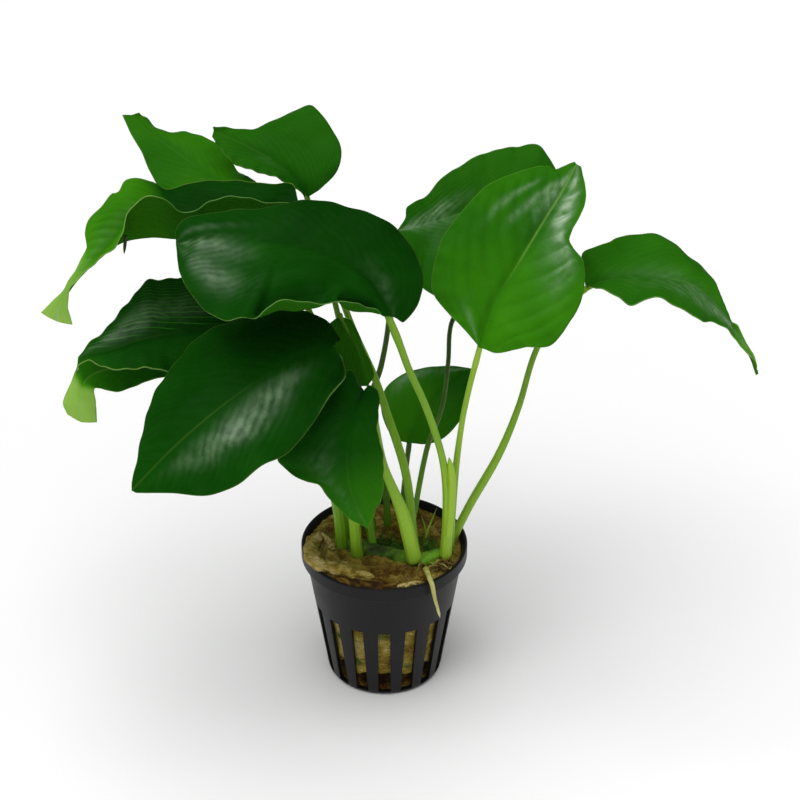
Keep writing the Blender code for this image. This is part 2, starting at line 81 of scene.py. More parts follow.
PLANT = {
    "front_large": Blade(
        rib=[(-15, -22, 138), (-28, -31, 138), (-44, -41, 132), (-60, -50, 122), (-75, -56, 108)],
        left=[(-12, -23, 133), (-11.5, -28, 131), (-14, -35, 131), (-16, -38, 130), (-21, -46, 125),
              (-27.5, -53.5, 120.5), (-30.5, -55.5, 119.5), (-36, -58.5, 118), (-42, -61, 114),
              (-52, -61.5, 110), (-63, -59.5, 109.5), (-73.5, -56.5, 107.5)],
        right=[(-13, -17, 138), (-20, -10.5, 142.5), (-30, -8, 144), (-42, -8.5, 141),
               (-52, -12, 139), (-59.5, -16, 134.5), (-67, -25.5, 129), (-71.5, -37.5, 123.5),
               (-73.5, -48.5, 115), (-75, -54, 110)],
        stem=[(-9, -8, 50), (-10, -12, 71), (-12, -14, 90), (-13, -15, 111), (-15.5, -15, 128)],
        radii=(1.7, 1.3)),
    "front_hanging": Blade(
        rib=[(-6, -20, 121), (-9, -30, 118), (-11, -36, 109), (-10, -37, 95), (-5, -33, 78)],
        left=[(-4.5, -18.5, 122), (-2, -18.5, 120), (-1.5, -19.5, 118), (-2, -25, 112.5),
              (0, -29.5, 105), (0.5, -31.5, 97.5), (-0.5, -32.5, 90.5), (-3, -33, 83)],
        right=[(-10.5, -20, 128.5), (-14, -23.5, 125.5), (-23, -34, 117.5), (-32, -40, 109),
               (-30.5, -40, 106), (-25, -41, 102), (-20, -40.5, 100), (-17, -39, 93.5),
               (-11.5, -36, 85)],
        stem=[(10, -12, 50), (6, -13, 70), (0, -15, 90), (-2.6, -17, 106.5), (-3.5, -18, 116)],
        radii=(2.15, 1.2)),
    "inner": Blade(
        rib=[(-14, 2, 135), (-10, -2, 128), (-7, -5, 121), (-5, -8, 115)],
        left=[(-20, -3, 131), (-19, -8, 123), (-12, -10, 117)],
        right=[(-10, 2, 133), (-6, 0, 123), (-3, -4, 117)],
        stem=[(-4, -2, 50), (-6, 2, 69), (-7, 5, 90), (-9, 8, 112), (-13.5, 8.5, 127)],
        radii=(1.2, 0.9)),
    "left_middle": Blade(
        rib=[(-43, 2, 134), (-57, -2, 132), (-72, -8, 133), (-84, -12, 131), (-93, -14, 129),
             (-95.5, -15, 124)],
        left=[(-45, -6, 130), (-55, -13, 126), (-66, -16.5, 125.5), (-74, -19, 128),
              (-83, -18.5, 127), (-86.5, -18, 128.5), (-91, -16.5, 130)],
        right=[(-48, 17, 140), (-57, 21, 141), (-66, 18.5, 140), (-71, 15.5, 140.5),
               (-75, 12.5, 142), (-78, 8, 140.5), (-82, 2, 136.5), (-89.5, -8, 132),
               (-94, -13, 129), (-94.5, -14, 127)],
        stem=[(-14, -3, 50), (-15, -5, 67), (-19, -4, 89), (-27, -2, 110), (-36, 0, 127)],
        radii=(1.8, 1.2)),
    "left_low": Blade(
        rib=[(-48, 10, 117), (-62, 6, 116), (-76, 4, 115), (-87, 1, 116), (-93.5, -3, 115),
             (-96, -6, 110), (-96, -7, 101)],
        left=[(-53, 6, 114), (-65, 3, 113), (-74, 0.5, 112), (-79, -1.5, 111), (-84.5, -3.5, 110),
              (-91, -5, 112.5), (-91, -6, 108), (-91, -7, 101)],
        right=[(-52, 16, 120), (-70.5, 10.5, 115), (-85.5, 5.5, 120.5), (-95, -1, 120.5),
               (-99, -4, 113.5), (-101.5, -5.5, 108), (-100.5, -6, 103.5)],
        stem=[(-11, 4, 47), (-13, 5, 65), (-19, 7, 83), (-32, 9, 104)],
        radii=(1.4, 1.0), flared=True),
    "left_arching": Blade(
        rib=[(-26, 14, 168), (-37, 12, 163), (-49, 10, 160), (-63, 9, 159), (-72, 8, 160),
             (-81, 4, 160), (-89, -2, 156), (-95, -6, 151), (-100, -7, 143), (-101, -7, 138)],
        left=[(-30, 10, 170.5), (-34, 8, 171), (-42, 6.5, 174), (-52.5, 5, 174), (-57, 4.5, 171.5),
              (-61.5, 3.5, 170.5), (-65, 2.5, 174.5), (-70, 1.5, 177.5), (-74, 0, 176),
              (-77.5, -1.5, 172.5), (-80, -4.5, 166.5), (-82, -5.5, 163), (-90.5, -7, 157),
              (-95, -8, 151.5), (-97, -9, 145), (-96, -9, 138)],
        right=[(-28.5, 21, 171.5), (-38, 26, 169), (-47, 27, 170), (-57, 28, 169),
               (-68.5, 25, 167.5), (-72, 24, 170), (-77, 21.5, 172.5), (-80.5, 19.5, 173),
               (-82.5, 16.5, 170.5), (-84.5, 15.5, 170.5), (-87.5, 11.5, 167.5), (-91, 8.5, 165),
               (-92, 6, 161.5), (-91.5, 3, 158.5), (-95, -3, 153), (-101, -5, 145.5),
               (-106, -5, 140)],
        stem=[(10, -6, 51), (7, 0, 77), (1, 6, 96), (-3, 9, 108), (-10, 12, 125), (-18, 15, 148)],
        radii=(1.3, 0.95), flared=True),
    "top_large": Blade(
        rib=[(3, -18, 146), (-5, -15, 158), (-19, -13, 166), (-35, -11, 169), (-51, -10, 170),
             (-62.5, -10, 167)],
        left=[(0, -21, 148), (-2, -23.5, 152), (-9, -30, 158.5), (-18, -34, 160),
              (-22.5, -35.5, 161.5), (-30, -37, 162.5), (-34, -38.5, 161), (-37, -39.5, 158.5),
              (-40.5, -41, 160), (-45.5, -39, 157), (-51, -35, 157), (-55, -31, 159),
              (-58.5, -26, 161), (-61, -20.5, 164)],
        right=[(6.5, -16, 143), (11.5, -12, 148.5), (11.5, -6.5, 156.5), (6, -1.5, 165),
               (-3.5, 2, 170.5), (-15, 3, 174.5), (-25.5, 3, 174), (-37, 0, 173.5),
               (-47, -1, 173.5), (-54, -2.5, 173.5), (-59.5, -4, 173), (-62.5, -6.5, 170)],
        stem=[(20, -9, 49.5), (20.5, -10, 66), (20, -11, 80), (18, -12.5, 94), (13, -14, 112),
              (8, -16, 126), (5, -17, 136)],
        radii=(1.65, 1.05)),
    "back_left": Blade(
        rib=[(-46, 34, 156), (-54, 40, 163), (-64, 46, 168), (-74, 52, 173), (-81.5, 56, 178.5)],
        left=[(-50, 29, 158), (-58, 30, 159), (-70, 35, 161), (-74.5, 41, 164.5), (-78, 47, 169.5),
              (-81, 51, 173), (-84.5, 56, 178.5)],
        right=[(-40, 38, 162), (-43, 40, 164), (-46.5, 46.5, 163), (-51, 50.5, 167.5),
               (-56, 53.5, 171.5), (-63, 57, 172), (-69.5, 58.5, 171.5), (-74, 59, 172.5),
               (-78, 58.5, 176.5), (-79, 57.5, 178.5)],
        stem=[(-4, 10, 47), (-7, 15, 64), (-14, 21, 92), (-26, 28, 126), (-39, 33, 147)],
        radii=(1.3, 0.9), flared=True),
    "back_top": Blade(
        rib=[(-24, 30, 162), (-29, 34, 168), (-37, 38, 172), (-46, 41, 176), (-54, 42, 179.5)],
        left=[(-27.5, 30, 165), (-31, 30.5, 167), (-36, 31, 169.5), (-43, 32, 171),
              (-48, 34.5, 172.5), (-52.5, 38.5, 176), (-54.5, 41, 178)],
        right=[(-20, 31, 164.5), (-14.5, 34.5, 169.5), (-13.5, 39, 175), (-17, 45.5, 179.5),
               (-22.5, 51, 183.5), (-25.5, 52.5, 183), (-32, 53, 179.5), (-41, 49.5, 177),
               (-47, 46, 178.5), (-54, 42, 181)],
        stem=[(-5, 4, 52), (-7, 10, 72), (-9, 14, 92), (-12, 17, 110), (-15, 20, 126),
              (-20, 25, 146)],
        radii=(1.2, 0.85), flared=True),
    "right_back": Blade(
        rib=[(4, 33, 148), (15, 38, 149), (26, 43, 150), (41, 48, 154), (58, 52, 157)],
        left=[(7, 37.5, 151), (7.5, 40, 153.5), (14, 45.5, 155), (17.5, 49, 158), (21.5, 52, 160),
              (26, 54.5, 161.5), (29, 56, 163), (36, 59, 164.5), (44, 61, 165), (50, 60, 166),
              (55.5, 57, 160)],
        right=[(7, 29, 147), (11, 24, 142), (13, 18, 136), (20, 15, 134), (29, 16, 135),
               (40, 24, 139), (52, 38, 146)],
        stem=[(1, 8, 52), (0, 10, 68), (-3, 14, 85), (-4, 17, 96), (-0.9, 20, 106), (1.5, 24, 120),
              (1.8, 29, 134)],
        radii=(1.1, 0.8)),
    "right_inner": Blade(
        rib=[(27, 36, 121), (38, 44, 123), (50, 52, 123), (61, 58, 119)],
        left=[(29, 40, 125), (37, 50, 127), (47, 58, 126), (56, 61, 122)],
        right=[(31, 35, 118), (43, 41, 116), (55, 52, 116)],
        stem=[(9, 4, 52), (14, 14, 77), (19, 20, 90), (21, 26, 103), (22, 31, 115)],
        radii=(0.85, 0.7)),
    "right_bright": Blade(
        rib=[(30, -6, 128), (34, 0, 139), (42, 8, 150), (50, 17, 160), (57, 24, 169),
             (60.5, 27.5, 175)],
        left=[(26.5, -5.5, 132.5), (16.5, -1.5, 143), (15, 1, 147), (16.5, 6.5, 154), (19, 11, 159),
              (30.5, 19.5, 170), (36.5, 22.5, 172.5), (48, 27, 174.5), (52, 27.5, 174.5),
              (54, 28, 173), (57, 28.5, 174), (60, 29, 175)],
        right=[(35.5, -9.5, 128), (44, -11, 131), (52, -9.5, 131), (59, -4, 138), (62, 0.5, 143),
               (62.5, 6, 151), (58.5, 9.5, 156), (58, 11, 158), (62, 17.5, 163),
               (63.5, 21.5, 166.5), (63, 26, 170), (62, 27.5, 174)],
        stem=[(21.5, -3, 48), (23, -5, 80), (25, -6, 101), (27, -6, 113)],
        radii=(1.15, 0.85)),
    "right_drooping": Blade(
        rib=[(64, 16, 138), (75, 15, 142), (87, 14, 142), (98, 12, 140), (107, 11, 131.5),
             (114, 10, 122), (117, 9.5, 117), (120, 9, 109)],
        left=[(63.5, 26, 144), (72, 31, 145), (75, 31.5, 147), (84.5, 31.5, 147.5),
              (91.5, 30, 145.5), (99.5, 24.5, 140.5), (106.5, 18, 135.5), (110, 12, 127),
              (112.5, 11, 126), (117, 10, 118.5), (119, 9.5, 115)],
        right=[(67, 9.5, 140.5), (73, 4, 141), (77.5, 0, 140.5), (85, 0.5, 142.5),
               (94.5, -1.5, 138), (99.5, -1, 134.5), (103.5, 2.5, 132.5), (109, 6, 127),
               (115.5, 8.5, 118), (118.5, 9, 114)],
        stem=[(21.5, 2.5, 46), (28, 3, 62), (37.5, 4, 82), (43.5, 7, 98), (48.5, 11, 116),
              (56, 15, 130)],
        radii=(1.3, 0.9)),
    "back_low": Blade(
        rib=[(8, 24, 73), (12, 29, 79), (18, 36, 84), (24, 41, 87), (30, 44, 90)],
        left=[(3, 25, 74), (-1, 31, 81), (0, 37, 86), (6, 42, 89), (15, 45, 90), (24, 46, 90)],
        right=[(14, 22, 74), (20, 24, 75), (26, 29, 80), (29, 37, 85)],
        stem=[(6, 10, 51), (7, 17, 65)],
        radii=(1.1, 0.8)),
}

# How each blade looks. Tones run from 0, the darkest green, to 1, the palest, at shares of the
# way to the tip. Halves add to them left and right of the midrib. Ruffles are waves of the
# margin, by height in mm and count. Veins stand a spacing in mm apart, run forward by their
# slant and swell the blade by their quilting. Rib and lines say how pale the midrib and the
# veins show, and rim how pale the margin shows, a painted highlight along the edge. A stalk's
# tone runs from 0, dark olive, to 1, pale, foot to top.
Habit = namedtuple("Habit", "tones halves ruffle ruffles veins slant quilt rib lines rim stalk"
                            " slot")
HABITS = {
    "front_large": Habit(
        [(0, 0.10), (0.4, 0.15), (1, 0.21)], (0.02, 0), 0.4, 5, 4.6, 1.2, 1.8, 0.06, 0.10, 0.16,
        (0.75, 0.45), "leaf_dark"),
    "front_hanging": Habit(
        [(0, 0.10), (0.40, 0.20), (0.7, 0.40), (1, 0.50)], (0.04, 0), 0.4, 4, 5.0, 1.2, 0.7, 0.03,
        0.05, 0.25, (0.90, 0.72), "leaf_dark"),
    "inner": Habit(
        [(0, 0.55), (1, 0.60)], (0, 0), 0.2, 3, 4.0, 1.4, 0.5, 0.05, 0.10, 0.20, (0.55, 0.40),
        "leaf_olive"),
    "left_middle": Habit(
        [(0, 0.04), (0.65, 0.10), (0.9, 0.28), (1, 0.60)], (0.09, 0), 0.7, 5, 11.0, 5.5, 2.4, 0.02,
        1.8, 0.50, (0.60, 0.40), "leaf_dark"),
    "left_low": Habit(
        [(0, 0.24), (0.6, 0.30), (0.76, 0.42), (0.84, 1.0), (1, 1.15)], (0, 0), 0.4, 5, 3.6, 1.6,
        0.6, 0.10, 0.20, 0.30, (0.60, 0.45), "leaf_mid"),
    # Its tone jumps from dark to pale past 0.4 of the way: painted shade on the inner part, painted
    # light on the lit outer part
    "left_arching": Habit(
        [(0, 0.06), (0.40, 0.08), (0.51, 0.62), (0.72, 0.62), (0.88, 0.86), (1, 1.04)], (0, 0),
        0.4, 6, 5.0, 1.6, 3.4, 0.08, 0.16, 0.40, (0.70, 0.50), "leaf_bright"),
    "top_large": Habit(
        [(0, 0.12), (0.5, 0.09), (1, 0.16)], (0.06, 0), 0.4, 5, 5.2, 1.4, 0.8, 0.0, 0.04, 0.10,
        (0.92, 0.66), "leaf_dark"),
    "back_left": Habit(
        [(0, 0.46), (1, 0.48)], (0, 0.04), 0.4, 4, 5.0, 2.2, 2.6, 0.03, 0.20, 0.10, (0.45, 0.35),
        "leaf_mid"),
    "back_top": Habit(
        [(0, 0.26), (0.5, 0.33), (1, 0.46)], (0, 0.06), 0.4, 4, 4.6, 2.6, 2.8, 0.03, 0.35, 0.10,
        (0.45, 0.35), "leaf_mid"),
    # Its stalk darkens towards the top: painted shade where it rises behind the blades
    "right_back": Habit(
        [(0, 0.36), (1, 0.42)], (0, 0), 0.4, 6, 4.0, 2.2, 2.0, 0.25, 0.30, 0.15, (0.30, 0.05),
        "leaf_mid"),
    "right_inner": Habit(
        [(0, 0.34), (1, 0.40)], (0, 0), 0.3, 4, 4.0, 1.6, 0.8, 0.3, 0.1, 0.1, (0.50, 0.10),
        "leaf_mid"),
    "right_bright": Habit(
        [(0, 0.53), (0.35, 0.49), (1, 0.47)], (0, 0.05), 0.4, 7, 8.0, 1.2, 5.5, 0.3, 0.0, 0.12,
        (0.92, 0.90), "leaf_bright"),
    "right_drooping": Habit(
        [(0, 0.36), (0.70, 0.42), (0.86, 0.74), (1, 0.88)], (0.05, 0), 0.35, 5, 5.0, 1.8, 2.4, 0.12,
        0.2, 0.30, (0.85, 0.62), "leaf_mid"),
    "back_low": Habit(
        [(0, 0.52), (0.4, 0.46), (1, 0.30)], (0.06, 0), 0.2, 3, 5.0, 1.2, 1.0, 0.0, 0.1, 0.1,
        (0.20, 0.15), "leaf_mid"),
}

# The half of a blade whose veins don't show pale, -1 for the left one
PLAIN_HALF = {"left_middle": -1}

# Where a blade shines: soft spots by hundredths of the way to the tip and to the margin,
# the left one below 0, with their spread and amount. There its coat is glossy, and a pale sheen
# is painted into its colour as a painted highlight. All of a blade has the usual little.
USUAL_GLOSS_AND_SHEEN = 0.01
GLOSS_AND_SHEEN_SPOTS = {
    "front_large": [(36, -30, 14, 0.35), (55, -42, 16, 0.45), (72, -30, 12, 0.15)],
    "left_middle": [(35, 40, 24, 0.06), (66, 40, 20, 0.34)],
    "back_low": [(60, -85, 16, 0.30), (90, -60, 16, 0.25)],
    "left_arching": [(98, 0, 7, 1.10), (58, 40, 12, 0.12), (72, 20, 10, 0.12)],
    "top_large": [(88, -22, 15, 0.55), (80, -60, 14, 0.40), (89, 35, 12, 0.15), (8, 20, 14, 0.15)],
    "front_hanging": [(60, 40, 20, 0.12), (96, 0, 12, 0.15)],
    "right_back": [(12, -10, 18, 0.70), (30, -30, 14, 0.30), (45, 30, 20, 0.20)],
    "right_bright": [(84, 42, 22, 1.15), (66, 62, 16, 0.90), (84, -16, 13, 1.10),
                     (78, -34, 6, 0.60), (70, -36, 6, 0.60), (62, -40, 5, 0.40),
                     (76, -62, 5, 0.50), (68, -64, 5, 0.50), (60, -66, 5, 0.40),
                     (8, -50, 9, 0.50)],
    "right_drooping": [(45, 10, 24, 0.20), (62, 45, 22, 0.50), (82, 10, 16, 0.50),
                       (95, 0, 10, 0.40)],
    "left_low": [(94, 0, 9, 0.25)],
    "inner": [(50, 0, 45, 0.22)],
    "back_top": [(45, -20, 14, 0.15)],
}

# Where a margin curls up again, the blade dips before it: from and to as shares of the way
# to the tip, and the dip's depth in mm
Curl = namedtuple("Curl", "side start end depth")
CURLS = {
    "top_large": [Curl(-1, 0.05, 0.26, 5.0), Curl(-1, 0.28, 0.54, 7.0)],
    "front_large": [Curl(-1, 0.02, 0.30, 1.5)],
}

# Between these shares of a stalk its broad sheath narrows, and by this depth in mm its foot
# sinks into the wool
SHEATH_END = {"front_hanging": (0.15, 0.60), "top_large": (0.10, 0.46)}
USUAL_SHEATH_END = (0.25, 0.7)
STEM_SINK = {"front_hanging": 0.3, "top_large": 0.6}
USUAL_SINK = 2.0

# A stalk's foot is rounded and swollen over heights in mm. Its joint with the blade is a
# swelling at a share of its free length, with a spread.
FOOT_ROUNDING = 2.4
FOOT_SWELL_HEIGHT = 5.0
FOOT_SWELL = 0.18
JOINT_SHARE = 0.93
JOINT_SPREAD = 0.03
JOINT_SWELL = 0.12
STALK_RIDGES = 9

# A stalk joins its blade this many of its own radii under the base, and sinks into the midrib
# from there on: shares of the way to the tip, and depths in radii
JOINT_DEPTH = 1.25
UNDER_RIB = ((0.05, 1.2), (0.10, 1.0), (0.20, 0.7), (0.35, 0.5), (0.5, 0.4))

# Side shoots of a stalk: places in mm, radius at the foot, how blunt the end is, and tone
Shoot = namedtuple("Shoot", "places radius blunt tone")
SHOOTS = {
    "top_large": [Shoot([(20.9, -10.6, 60), (21.4, -11.0, 68), (21.8, -11.6, 76), (21.7, -12.0, 84),
                         (20.8, -12.0, 91)], 1.3, 12, 1.0)],
    "right_bright": [Shoot([(13.5, 2, 48.5), (14.5, 3, 52.3), (15.5, 4, 54.8), (17.4, 5, 59.8)],
                           0.32, 3, 1.0),
                     Shoot([(14.0, 3, 49.5), (13.4, 3.6, 53.5), (12.2, 4, 57.6)], 0.25, 3, 0.9)],
    "left_arching": [Shoot([(-78.6, -1.6, 165), (-78.9, -2, 162.4), (-79.4, -2, 159)],
                           0.5, 4, 0.0)],
}

# A blade's half widths at its base and tip, the breadth of its midrib's thickening and how far
# it drifts up and down, in mm, and two shares: its halves' bulge, of their width, and the
# thickness of its margins, of the midrib's
BASE_HALF_WIDTH = 1.3
TIP_HALF_WIDTH = 0.5
RIB_BREADTH = 1.2
DRIFT = 1.8
BELLY = 0.05
MARGIN_THICKNESS = 0.35

# The wool's torn top: soft round spots by place in mm, spread and amount, for its heaps in
# mm, its tints and its moss. Rolls of wool lie over the rim.
HEAPS = [(-19, -9, 7, 2.6), (-12, -17, 6, 2.0), (-3, -20, 6, 1.3), (-20, 3, 5, 1.6),
         (14, 14, 9, -1.6), (-4, 16, 9, -1.0)]
TINTS = [(-20, -8, 8, 0.22), (-11, -18, 6, 0.16), (-2, -13, 7, -0.12), (14, 14, 9, -0.16),
         (0, -22, 5, -0.10)]
MOSSES = [(-3, -3, 5, 0.9), (4, -3, 5, 0.9), (-1, 5, 7, 0.55), (14, 1, 6, 0.75), (15, -5, 4, 0.7),
          (-17, 6, 6, 0.45), (-21, -11, 3, 0.35)]
Roll = namedtuple("Roll", "places radius end tone")
ROLLS = [
    Roll([(-20.5, 3, 49.8), (-23.6, -3, 50.9), (-24.0, -8, 51.3), (-22.0, -13.2, 51.2),
          (-18.5, -17, 50.2)], 2.5, 1.0, 0.68),
    Roll([(-20, -14, 50.8), (-14.5, -18.2, 51.2), (-8.5, -20.4, 51.0), (-3, -21.6, 50.2)],
         2.1, 0.9, 0.62),
    Roll([(-16, -20.4, 50.0), (-8.5, -24.2, 50.2), (0, -25.6, 50.2), (6, -24.8, 49.9)],
         1.5, 0.8, 0.16),
    Roll([(4.2, -25.8, 50.2), (6.2, -25.5, 50.8), (8.2, -25.0, 50.2)], 0.55, 0.8, 0.95),
    Roll([(6.8, -25.7, 50.1), (8.6, -24.8, 50.8), (10.6, -24.4, 50.2)], 0.5, 0.6, 1.0),
    Roll([(7.6, -24.2, 50.2), (9.8, -24.0, 50.8), (12.2, -23.2, 50.1)], 0.5, 0.5, 0.88),
    Roll([(-16.8, -5, 49.5), (-18.2, -3.8, 52.4), (-20.6, -2.8, 55.4)], 2.0, 0.1, 0.92),
]

# The wool in the slots, by mm round the pot from the front and height: its tints and its moss
SIDE_TINTS = [(-16.5, 18, 6, 0.25), (-8.2, 20, 5, 0.12), (0, 14, 5, -0.16), (8.2, 22, 6, 0.02),
              (16.5, 18, 6, -0.20)]
SIDE_MOSSES = [(-16.5, 22, 4, 0.60), (-15, 13, 3, 0.60), (-7.2, 25, 4, 0.40), (0, 28.5, 5.0, 0.75),
               (8.8, 10, 3, 0.65), (-9, 12, 3, 0.35)]

# The pot's sizes in mm. Its wall leans out from the base to the band round the rim. The lip is
# the bevel of the rim's two edges, and the slots are cut through at a radius, to a depth.
POT_HEIGHT = 50.0
POT_RIM_RADIUS = 27.5
POT_BASE_RADIUS = 19.0
POT_WALL = 1.2
RIM_STEP = 0.8
BAND_FOOT = 45.0
SLOT_COUNT = 16
SLOT_WIDTH = 4.0
SLOT_BOTTOM = 1.6
SLOT_TOP = 29.0
CUT_RADIUS = 22.5
CUT_DEPTH = 14.0
LIP = 0.35
LIP_DROP = 0.4

# The wool's sizes in mm: its top, how far that swells past its edge at the brim, its gaps to
# the pot's floor and wall, the height to which it is torn away above the slots' foot, and the
# radius at which its places round the pot are measured
WOOL_TOP = 49.0
WOOL_EDGE_RADIUS = 23.8
WOOL_BRIM = 1.6
WOOL_LIFT = 0.3
WOOL_GAP = 0.35
TORN_HEIGHT = 6.0
SLOT_RADIUS = 21.0

# Loose strands start within their reach and turn back at their limit, in mm
STRAND_SEED = 11
STRAND_REACH = 25.0
STRAND_LIMIT = 25.4
STRAND_LENGTHS = (1.5, 6.0)
STRAND_RADII = (0.025, 0.070)
STRAND_LIFTS = (0.1, 0.6)
STRAND_STEPS = 3

# The creeping stem and the root over the rim in mm, with their radii from end to end, and the
# tangle of fine roots: where they start, by x, y and z, their radii, their steps and the
# distance from the pot's axis at which they turn back
RHIZOME_RADII = (3.6, 2.9)
RHIZOME = [(-15, -1, 47.6), (-7, -3, 48.0), (3, -7, 48.2), (12, -10.2, 49.2), (17, -8.8, 49.3),
           (20, -5.5, 48.4)]
ROOT_RADII = (0.95, 0.4)
ROOT = [(13.6, -17.3, 51.0), (14.5, -22.4, 51.9), (15.5, -24.8, 50.4), (16.3, -24.9, 45.8),
        (17.2, -24.3, 41.2), (18.3, -23.6, 36.0)]
TANGLE_SEED = 5
TANGLE_ROOTS = 26
TANGLE_START = ((11.0, 21.0), (-14.0, -10.0), (49.4, 51.0))
TANGLE_RADII = (0.16, 0.42)
TANGLE_STEP = 1.5
TANGLE_STEPS = 6
TANGLE_LIMIT = 25.6

# The stage: the floor's half width in m, the camera's sensor in mm, the lights' tilts in
# degrees to the front and to the right, the left below 0, and the fill light's size in degrees
FLOOR_HALF_WIDTH = 9.0
SENSOR_WIDTH = 36.0
KEY_TILT = (4, -9)
FILL_TILT = (52, -14)
FILL_SIZE = 90


# Sizes and colours that a user would change

def colour_setting(name, description, default):
    return FloatVectorProperty(name=name, description=description, subtype="COLOR",
                               default=default)


def length_setting(name, description, default):
    return FloatProperty(name=name, description=description, unit="LENGTH", default=default)


def angle_setting(name, description, degrees):
    return FloatProperty(name=name, description=description, subtype="ANGLE",
                         default=math.radians(degrees))


def number_setting(name, description, default):
    return FloatProperty(name=name, description=description, default=default)


class StudioSettings(PropertyGroup):
    camera_place: FloatVectorProperty(
        name="Camera", description="Where the camera stands", subtype="TRANSLATION",
        default=(0.0052, -0.650, 0.5102))
    camera_tilt: angle_setting("Tilt down", "How far the camera looks down", 31.94)
    camera_lens: number_setting("Lens", "Focal length on a 36 mm sensor", 108.0)
    floor_colour: colour_setting("Floor", "Colour of the floor", (0.95, 0.95, 0.95))
    key_strength: number_setting("Key light", "Strength of the light from overhead", 2.2)
    key_size: angle_setting("Key size", "How wide the overhead light looks", 58)
    fill_strength: number_setting("Fill light", "Strength of the light from the front", 0.8)
    sky_strength: number_setting("Room light", "Strength of the light from all round", 0.24)


class LeafSettings(PropertyGroup):
    thickness: length_setting("Thickness", "Thickness of a blade at its midrib", 0.0009)
    cell: length_setting("Cell", "Size of a blade's mesh cells", 0.0008)
    relief: length_setting("Relief", "How far a blade swells between its veins", 0.00012)
    shine: number_setting("Shine", "How strongly a blade without wax mirrors the lights", 0.004)
    deepest: colour_setting("Deepest green", "Colour of the oldest leaves",
                            (0.0012, 0.022, 0.0006))
    deep: colour_setting("Deep green", "Colour of old leaves", (0.004, 0.055, 0.0015))
    mid: colour_setting("Mid green", "Colour of grown leaves", (0.018, 0.125, 0.003))
    fresh: colour_setting("Fresh green", "Colour of young leaves", (0.045, 0.23, 0.003))
    pale: colour_setting("Pale green", "Colour of thin, lit leaf tips", (0.25, 0.46, 0.07))
    # Painted sheen: a pale grey-green mixed into a blade's colour where it shines, a painted
    # highlight
    painted_sheen: colour_setting("Painted sheen", "Colour of the film where a blade shines",
                         (0.22, 0.36, 0.18))
    underside: colour_setting("Underside", "Colour of the blades from below",
                              (0.016, 0.095, 0.004))


class StemSettings(PropertyGroup):
    dark: colour_setting("Dark stalk", "Colour of the darkest stalks", (0.016, 0.036, 0.006))
    green: colour_setting("Green stalk", "Colour of most stalks", (0.12, 0.30, 0.008))
    pale: colour_setting("Pale stalk", "Colour of the stalks' pale feet", (0.31, 0.52, 0.035))


class WoolSettings(PropertyGroup):
    cream: colour_setting("Cream wool", "Colour of the palest, dry wool", (0.60, 0.48, 0.20))
    tan: colour_setting("Tan wool", "Colour of most of the wool", (0.36, 0.27, 0.040))
    brown: colour_setting("Brown wool", "Colour of damp wool", (0.14, 0.070, 0.010))
    # The dark wool serves as painted shade, in the wool's deep folds and at the slots' lower ends
    dark: colour_setting("Dark wool", "Colour of the wool's deep folds", (0.030, 0.016, 0.004))
    moss: colour_setting("Moss", "Colour of the moss round the crown", (0.035, 0.11, 0.006))
    strands: IntProperty(name="Strands", description="How many loose fibres lie on the wool",
                         default=1500)


class PotSettings(PropertyGroup):
    plastic: colour_setting("Plastic", "Colour of the pot", (0.006, 0.006, 0.0065))
    rounding: length_setting("Rounding", "Rounding of the pot's edges", 0.00025)


# Materials

class Wire:
    """A socket of a material, which Python's own operators add Math nodes to."""

    def __init__(self, finish, socket):
        self.finish = finish
        self.socket = socket

    def maths(self, operation, *values):
        return self.finish.node("ShaderNodeMath", {"operation": operation},
                                dict(enumerate(values)))

    def __add__(self, other):
        return self.maths("ADD", self, other)

    def __radd__(self, other):
        return self.maths("ADD", other, self)

    def __sub__(self, other):
        return self.maths("SUBTRACT", self, other)

    def __rsub__(self, other):
        return self.maths("SUBTRACT", other, self)

    def __mul__(self, other):
        return self.maths("MULTIPLY", self, other)

    def __rmul__(self, other):
        return self.maths("MULTIPLY", other, self)

    def ramp(self, start, end):
        """From 0 at one value to 1 at the other, smoothly."""
        return self.finish.node("ShaderNodeMapRange", {"interpolation_type": "SMOOTHSTEP"},
                                {"Value": self, "From Min": start, "From Max": end})

    def from_whole(self):
        """The distance to the nearest whole number."""
        return self.maths("PINGPONG", self, 0.5)


# Sockets that share a name are told apart by their number: the Mix node's share, first and
# second colour, and the outputs of Mix, Attribute and Texture Coordinate that are used
MIX_SHARE, MIX_FIRST, MIX_SECOND = 0, 6, 7
MIXED_COLOUR = 2
ATTRIBUTE_NUMBER = 2
OBJECT_PLACE = 3


